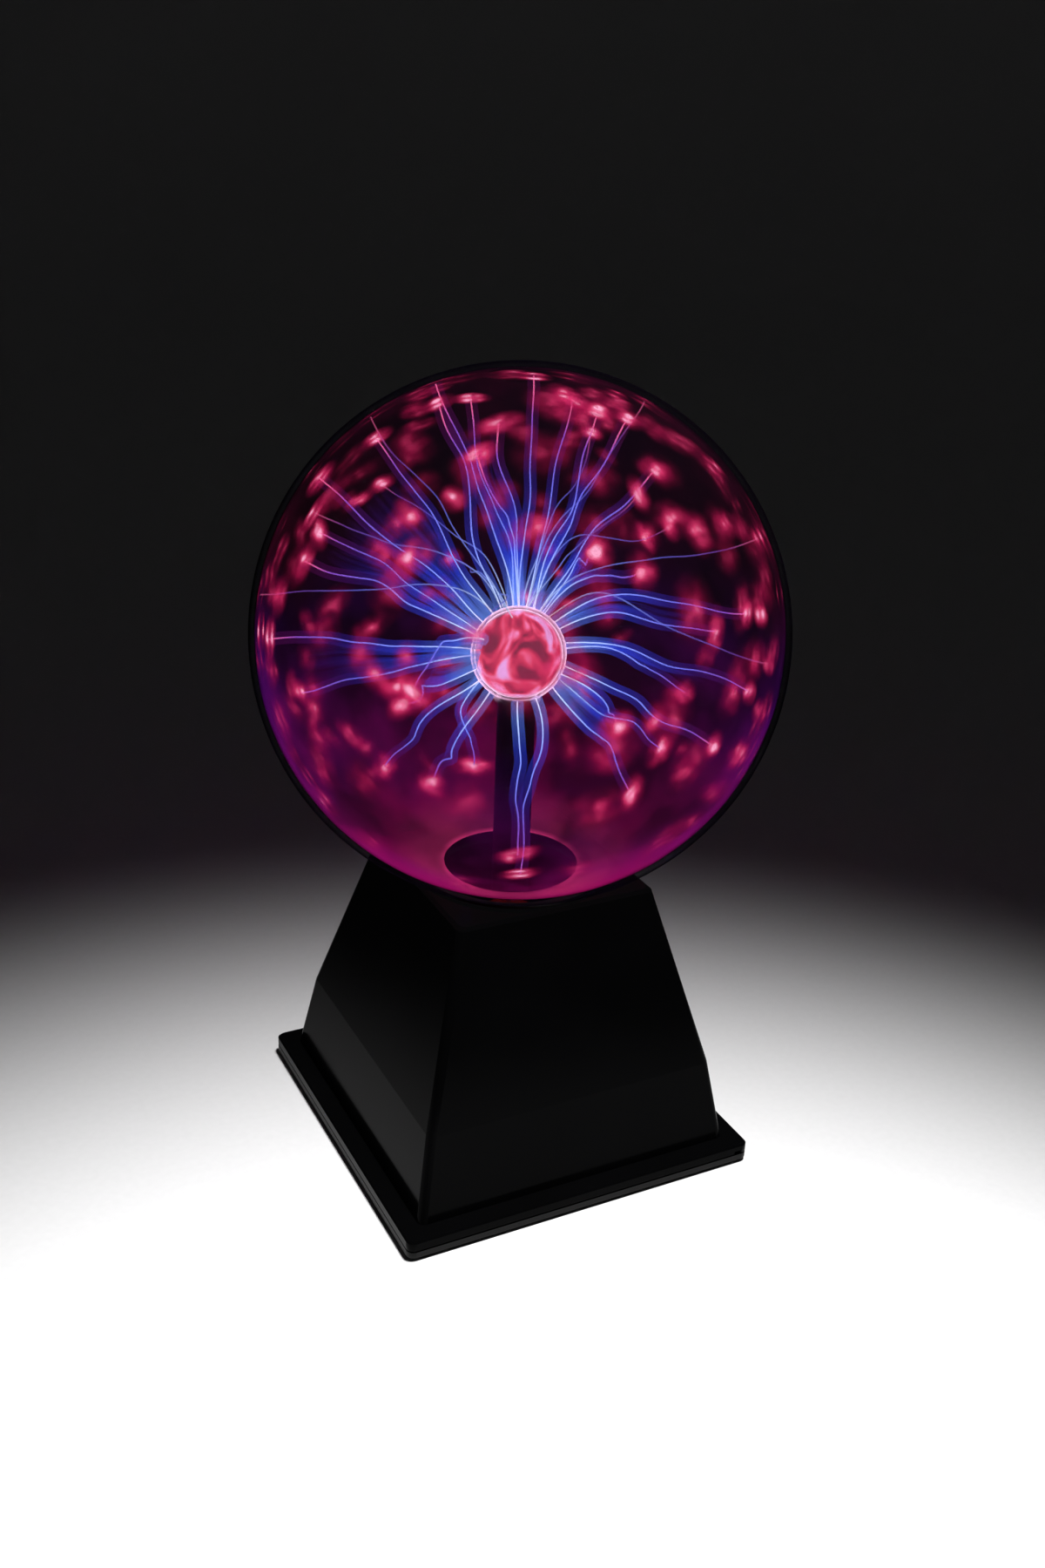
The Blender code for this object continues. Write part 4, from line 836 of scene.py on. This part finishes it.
class PLASMA_OT_inside(bpy.types.Operator):
    """Give every carried-over CAD piece its real finish"""
    bl_idname = "plasma.inside"
    bl_label = "Inner Pieces"

    def execute(self, context):
        finishes = {
            # Moulded blacks: dull rubber and lining, nylon with a low sheen
            "rubber": moulded_finish("moulded_rubber", "#0C0C0C", "#161616", 0.8, 0.6 * MM, 0.3),
            "satin": moulded_finish("moulded_nylon", "#0A0A0A", "#121212", 0.5, 0.8 * MM),
            "lining": moulded_finish("black_stem_lining", "#010101", "#030303", 0.6, 1.0 * MM, 0.1),
            # Bare and plated metal: cold blue-grey, warm white and yellow, all with a soft even shine
            "zinc": moulded_finish("zinc_plated_steel", "#8C8E92", "#B4B6BA", 0.3, 0.5 * MM, 0.1, 1.0),
            "nickel": moulded_finish("nickel_plated_brass", "#B8B2A4", "#D2CCBE", 0.2, 0.4 * MM, 0.05, 1.0),
            "brass": moulded_finish("drawn_brass", "#A07832", "#C09A50", 0.28, 0.4 * MM, 0.05, 1.0),
            # Insulation: dull deep-red silicone, and smooth wires with a narrow highlight
            "silicone": moulded_finish("red_silicone", "#781010", "#8C1616", 0.55, 0.8 * MM),
            "red_pvc": moulded_finish("red_wire_pvc", "#8C0C0C", "#A01212", 0.4, 0.6 * MM),
            "black_pvc": moulded_finish("black_wire_pvc", "#0C0C0C", "#141414", 0.4, 0.6 * MM),
            # Circuit board and transformer: glossy green, charcoal grit, wet black resin, brown-red wire
            "laminate": moulded_finish("solder_masked_laminate", "#0A3C1E", "#124C28", 0.35, 1.2 * MM),
            "ferrite": moulded_finish("sintered_ferrite", "#1C1C1E", "#2C2C2E", 0.55, 0.5 * MM, 0.3),
            "resin": moulded_finish("potting_resin", "#06080C", "#0C1016", 0.2, 2.0 * MM, 0.1),
            "copper": moulded_finish("enamelled_copper", "#7A3414", "#A04A20", 0.3, 0.4 * MM, 0.4, 0.8),
            # Parts on the board: matt black packages, a grey heat sink, tight shrunk sleeves, a dipped
            # red case, a bright can, and the trimmer's blue shell and white rotor
            "epoxy": moulded_finish("moulded_epoxy", "#0C0C0D", "#161618", 0.5, 0.5 * MM),
            "aluminium": moulded_finish("anodised_aluminium", "#3C3E42", "#54565A", 0.4, 0.5 * MM, 0.1, 1.0),
            "sleeve": moulded_finish("shrunk_pvc_sleeve", "#080C24", "#0E1434", 0.3, 1.5 * MM, 0.1),
            "dipped": moulded_finish("dipped_film_case", "#781408", "#90200E", 0.3, 1.2 * MM),
            "can": moulded_finish("drawn_aluminium_can", "#909296", "#B0B2B6", 0.3, 0.4 * MM, 0.1, 1.0),
            "blue": moulded_finish("blue_trimmer_shell", "#0E2C78", "#163C96", 0.4, 0.6 * MM),
            "white": moulded_finish("white_trimmer_rotor", "#C8C8C0", "#DCDCD4", 0.4, 0.6 * MM),
        }
        starts = {
            "foot": "rubber", "seat_gasket": "rubber", "neck_grommet": "rubber", "neck_collar": "satin",
            "stem_sleeve": "lining", "electrode_rod": "brass", "hv_boot": "silicone", "hv_lead": "red_pvc",
            "jack_lead_1": "red_pvc", "switch_lead_1": "red_pvc", "jack_lead_2": "black_pvc",
            "switch_lead_2": "black_pvc", "circuit_board": "laminate", "core_lower": "ferrite",
            "core_upper": "ferrite", "hv_coil": "resin", "primary_winding": "copper",
            "power_transistor": "epoxy", "oscillator_ic": "epoxy", "heat_sink": "aluminium",
            "electrolytic_cap": "sleeve", "film_capacitor": "dipped", "microphone": "can",
            "trimmer_body": "blue", "trimmer_rotor": "white", "dc_jack_shell": "satin",
            "dc_jack_pin": "nickel", "dc_jack_nut": "nickel", "switch_tag": "nickel",
        }
        for node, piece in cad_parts.items():
            finish = next((starts[start] for start in starts if node.startswith(start)), "zinc")
            mat = finishes[finish]
            piece.data.materials.clear()
            piece.data.materials.append(mat)
        return {"FINISHED"}


# The outer pieces of the base: the rear fill light falls on them, and they alone shade the floor
BASE_PIECES = ("base_shell", "base_plate", "switch_bezel", "rocker_paddle", "dc_jack_shell",
               "dc_jack_nut", "dc_jack_pin")


class PLASMA_OT_stage(bpy.types.Operator):
    """Set the pale floor, the soft lights and the camera"""
    bl_idname = "plasma.stage"
    bl_label = "Stage"

    def execute(self, context):
        settings = context.scene.plasma_stage
        self.floor()
        self.lights(settings)
        self.camera(context, settings)
        world = bpy.data.worlds.new("studio")
        world.use_nodes = True
        world.node_tree.nodes["Background"].inputs["Color"].default_value = (*grey(0.007), 1)
        context.scene.world = world
        context.scene.view_settings.view_transform = "Standard"
        context.scene.cycles.transparent_max_bounces = 64
        return {"FINISHED"}

    def floor(self):
        """A round pale floor that sweeps up into a wall."""
        flat, sweep, wall_top, steps = 2.0, 1.0, 3.0, 12
        profile = [(0.0, 0.0), (flat / 2, 0.0), (flat, 0.0)]
        profile += [(flat + sweep * math.sin(turn), sweep * (1 - math.cos(turn)))
                    for turn in (math.pi / 2 * step / steps for step in range(1, steps + 1))]
        mesh = turned_mesh("floor", profile + [(flat + sweep, wall_top)], 96)
        mesh.materials.append(moulded_finish("matte_paper", "#E6E6E6", "#E9E9E9", 0.7, 3 * MM, 0.02))
        floor = new_object("floor", mesh)

    def lights(self, settings):
        """One soft pool of light on the floor, and a dim fill behind that falls on the base alone."""
        pool_centre = direction(math.degrees(settings.azimuth), 0) * 0.36 + Vector((0.045, 0.022, 0))
        pool_lamp_above = Vector((0.27, 0.13, 1.5))
        pool = bpy.data.lights.new("soft_pool", "SPOT")
        pool.energy = 180
        pool.spot_size = math.radians(38)
        pool.spot_blend = 1.0
        pool.shadow_soft_size = 0.10
        spot = new_object("soft_pool", pool)
        spot.location = pool_centre + pool_lamp_above
        spot.rotation_euler = (-pool_lamp_above).to_track_quat("-Z", "Y").to_euler()
        spot.visible_glossy = False

        base_pieces = bpy.data.collections.new("base_pieces")
        for name in BASE_PIECES:
            base_pieces.objects.link(bpy.data.objects[name])
        spot.light_linking.blocker_collection = base_pieces

        fill = bpy.data.lights.new("rear_fill", "AREA")
        fill.shape = "DISK"
        fill.size = 0.09
        fill.energy = 3.0
        lamp = new_object("rear_fill", fill)
        lamp.visible_camera = False
        lamp.location = (0, 0.9, 0.05)
        lamp.rotation_euler = Vector((0, -1, 0)).to_track_quat("-Z", "Y").to_euler()
        lamp.light_linking.receiver_collection = base_pieces

    def camera(self, context, settings):
        """A camera that looks down on the ball from its left, with a slight tilt."""
        data = bpy.data.cameras.new("camera")
        data.sensor_fit = "VERTICAL"
        data.sensor_height = 36.0
        data.lens = settings.lens
        data.clip_start = 0.01
        data.shift_x = 0.0225
        data.shift_y = -0.0277
        back = direction(math.degrees(settings.azimuth), math.degrees(settings.elevation))
        right = Vector((math.cos(settings.azimuth), math.sin(settings.azimuth), 0))
        up = back.cross(right)
        target_height, target_left = 166.8 * MM, 10.7 * MM
        target = Vector((0, 0, target_height)) - right * target_left
        axes = Matrix((right, up, back)).transposed().to_4x4()
        turn = Matrix.Rotation(settings.roll, 4, "Z")
        camera = new_object("camera", data)
        camera.matrix_world = Matrix.Translation(target + back * settings.distance) @ axes @ turn
        context.scene.camera = camera


class PLASMA_PT_panel(bpy.types.Panel):
    """Sizes, colours and the build steps of the plasma ball"""
    bl_label = "Plasma Ball"
    bl_idname = "PLASMA_PT_panel"
    bl_space_type = "VIEW_3D"
    bl_region_type = "UI"
    bl_category = "Plasma Ball"

    def draw(self, context):
        for group in (context.scene.plasma_glass, context.scene.plasma_discharge,
                      context.scene.plasma_stage):
            box = self.layout.box()
            for name in group.__annotations__:
                box.prop(group, name)
        for operator in OPERATORS:
            self.layout.operator(operator.bl_idname)


OPERATORS = (PLASMA_OT_inside, PLASMA_OT_base, PLASMA_OT_globe, PLASMA_OT_electrode,
             PLASMA_OT_filaments, PLASMA_OT_contacts, PLASMA_OT_stage)
GROUPS = (("plasma_glass", PlasmaGlassSettings), ("plasma_discharge", PlasmaDischargeSettings),
          ("plasma_stage", PlasmaStageSettings))


def register():
    for name, group in GROUPS:
        bpy.utils.register_class(group)
        setattr(bpy.types.Scene, name, PointerProperty(type=group))
    for item in (*OPERATORS, PLASMA_PT_panel):
        bpy.utils.register_class(item)


def unregister():
    for item in reversed((*OPERATORS, PLASMA_PT_panel)):
        bpy.utils.unregister_class(item)
    for name, group in reversed(GROUPS):
        delattr(bpy.types.Scene, name)
        bpy.utils.unregister_class(group)


def main():
    register()
    for operator in OPERATORS:
        step = operator.bl_idname.split(".")[1]
        getattr(bpy.ops.plasma, step)()


if __name__ == "__main__":
    main()
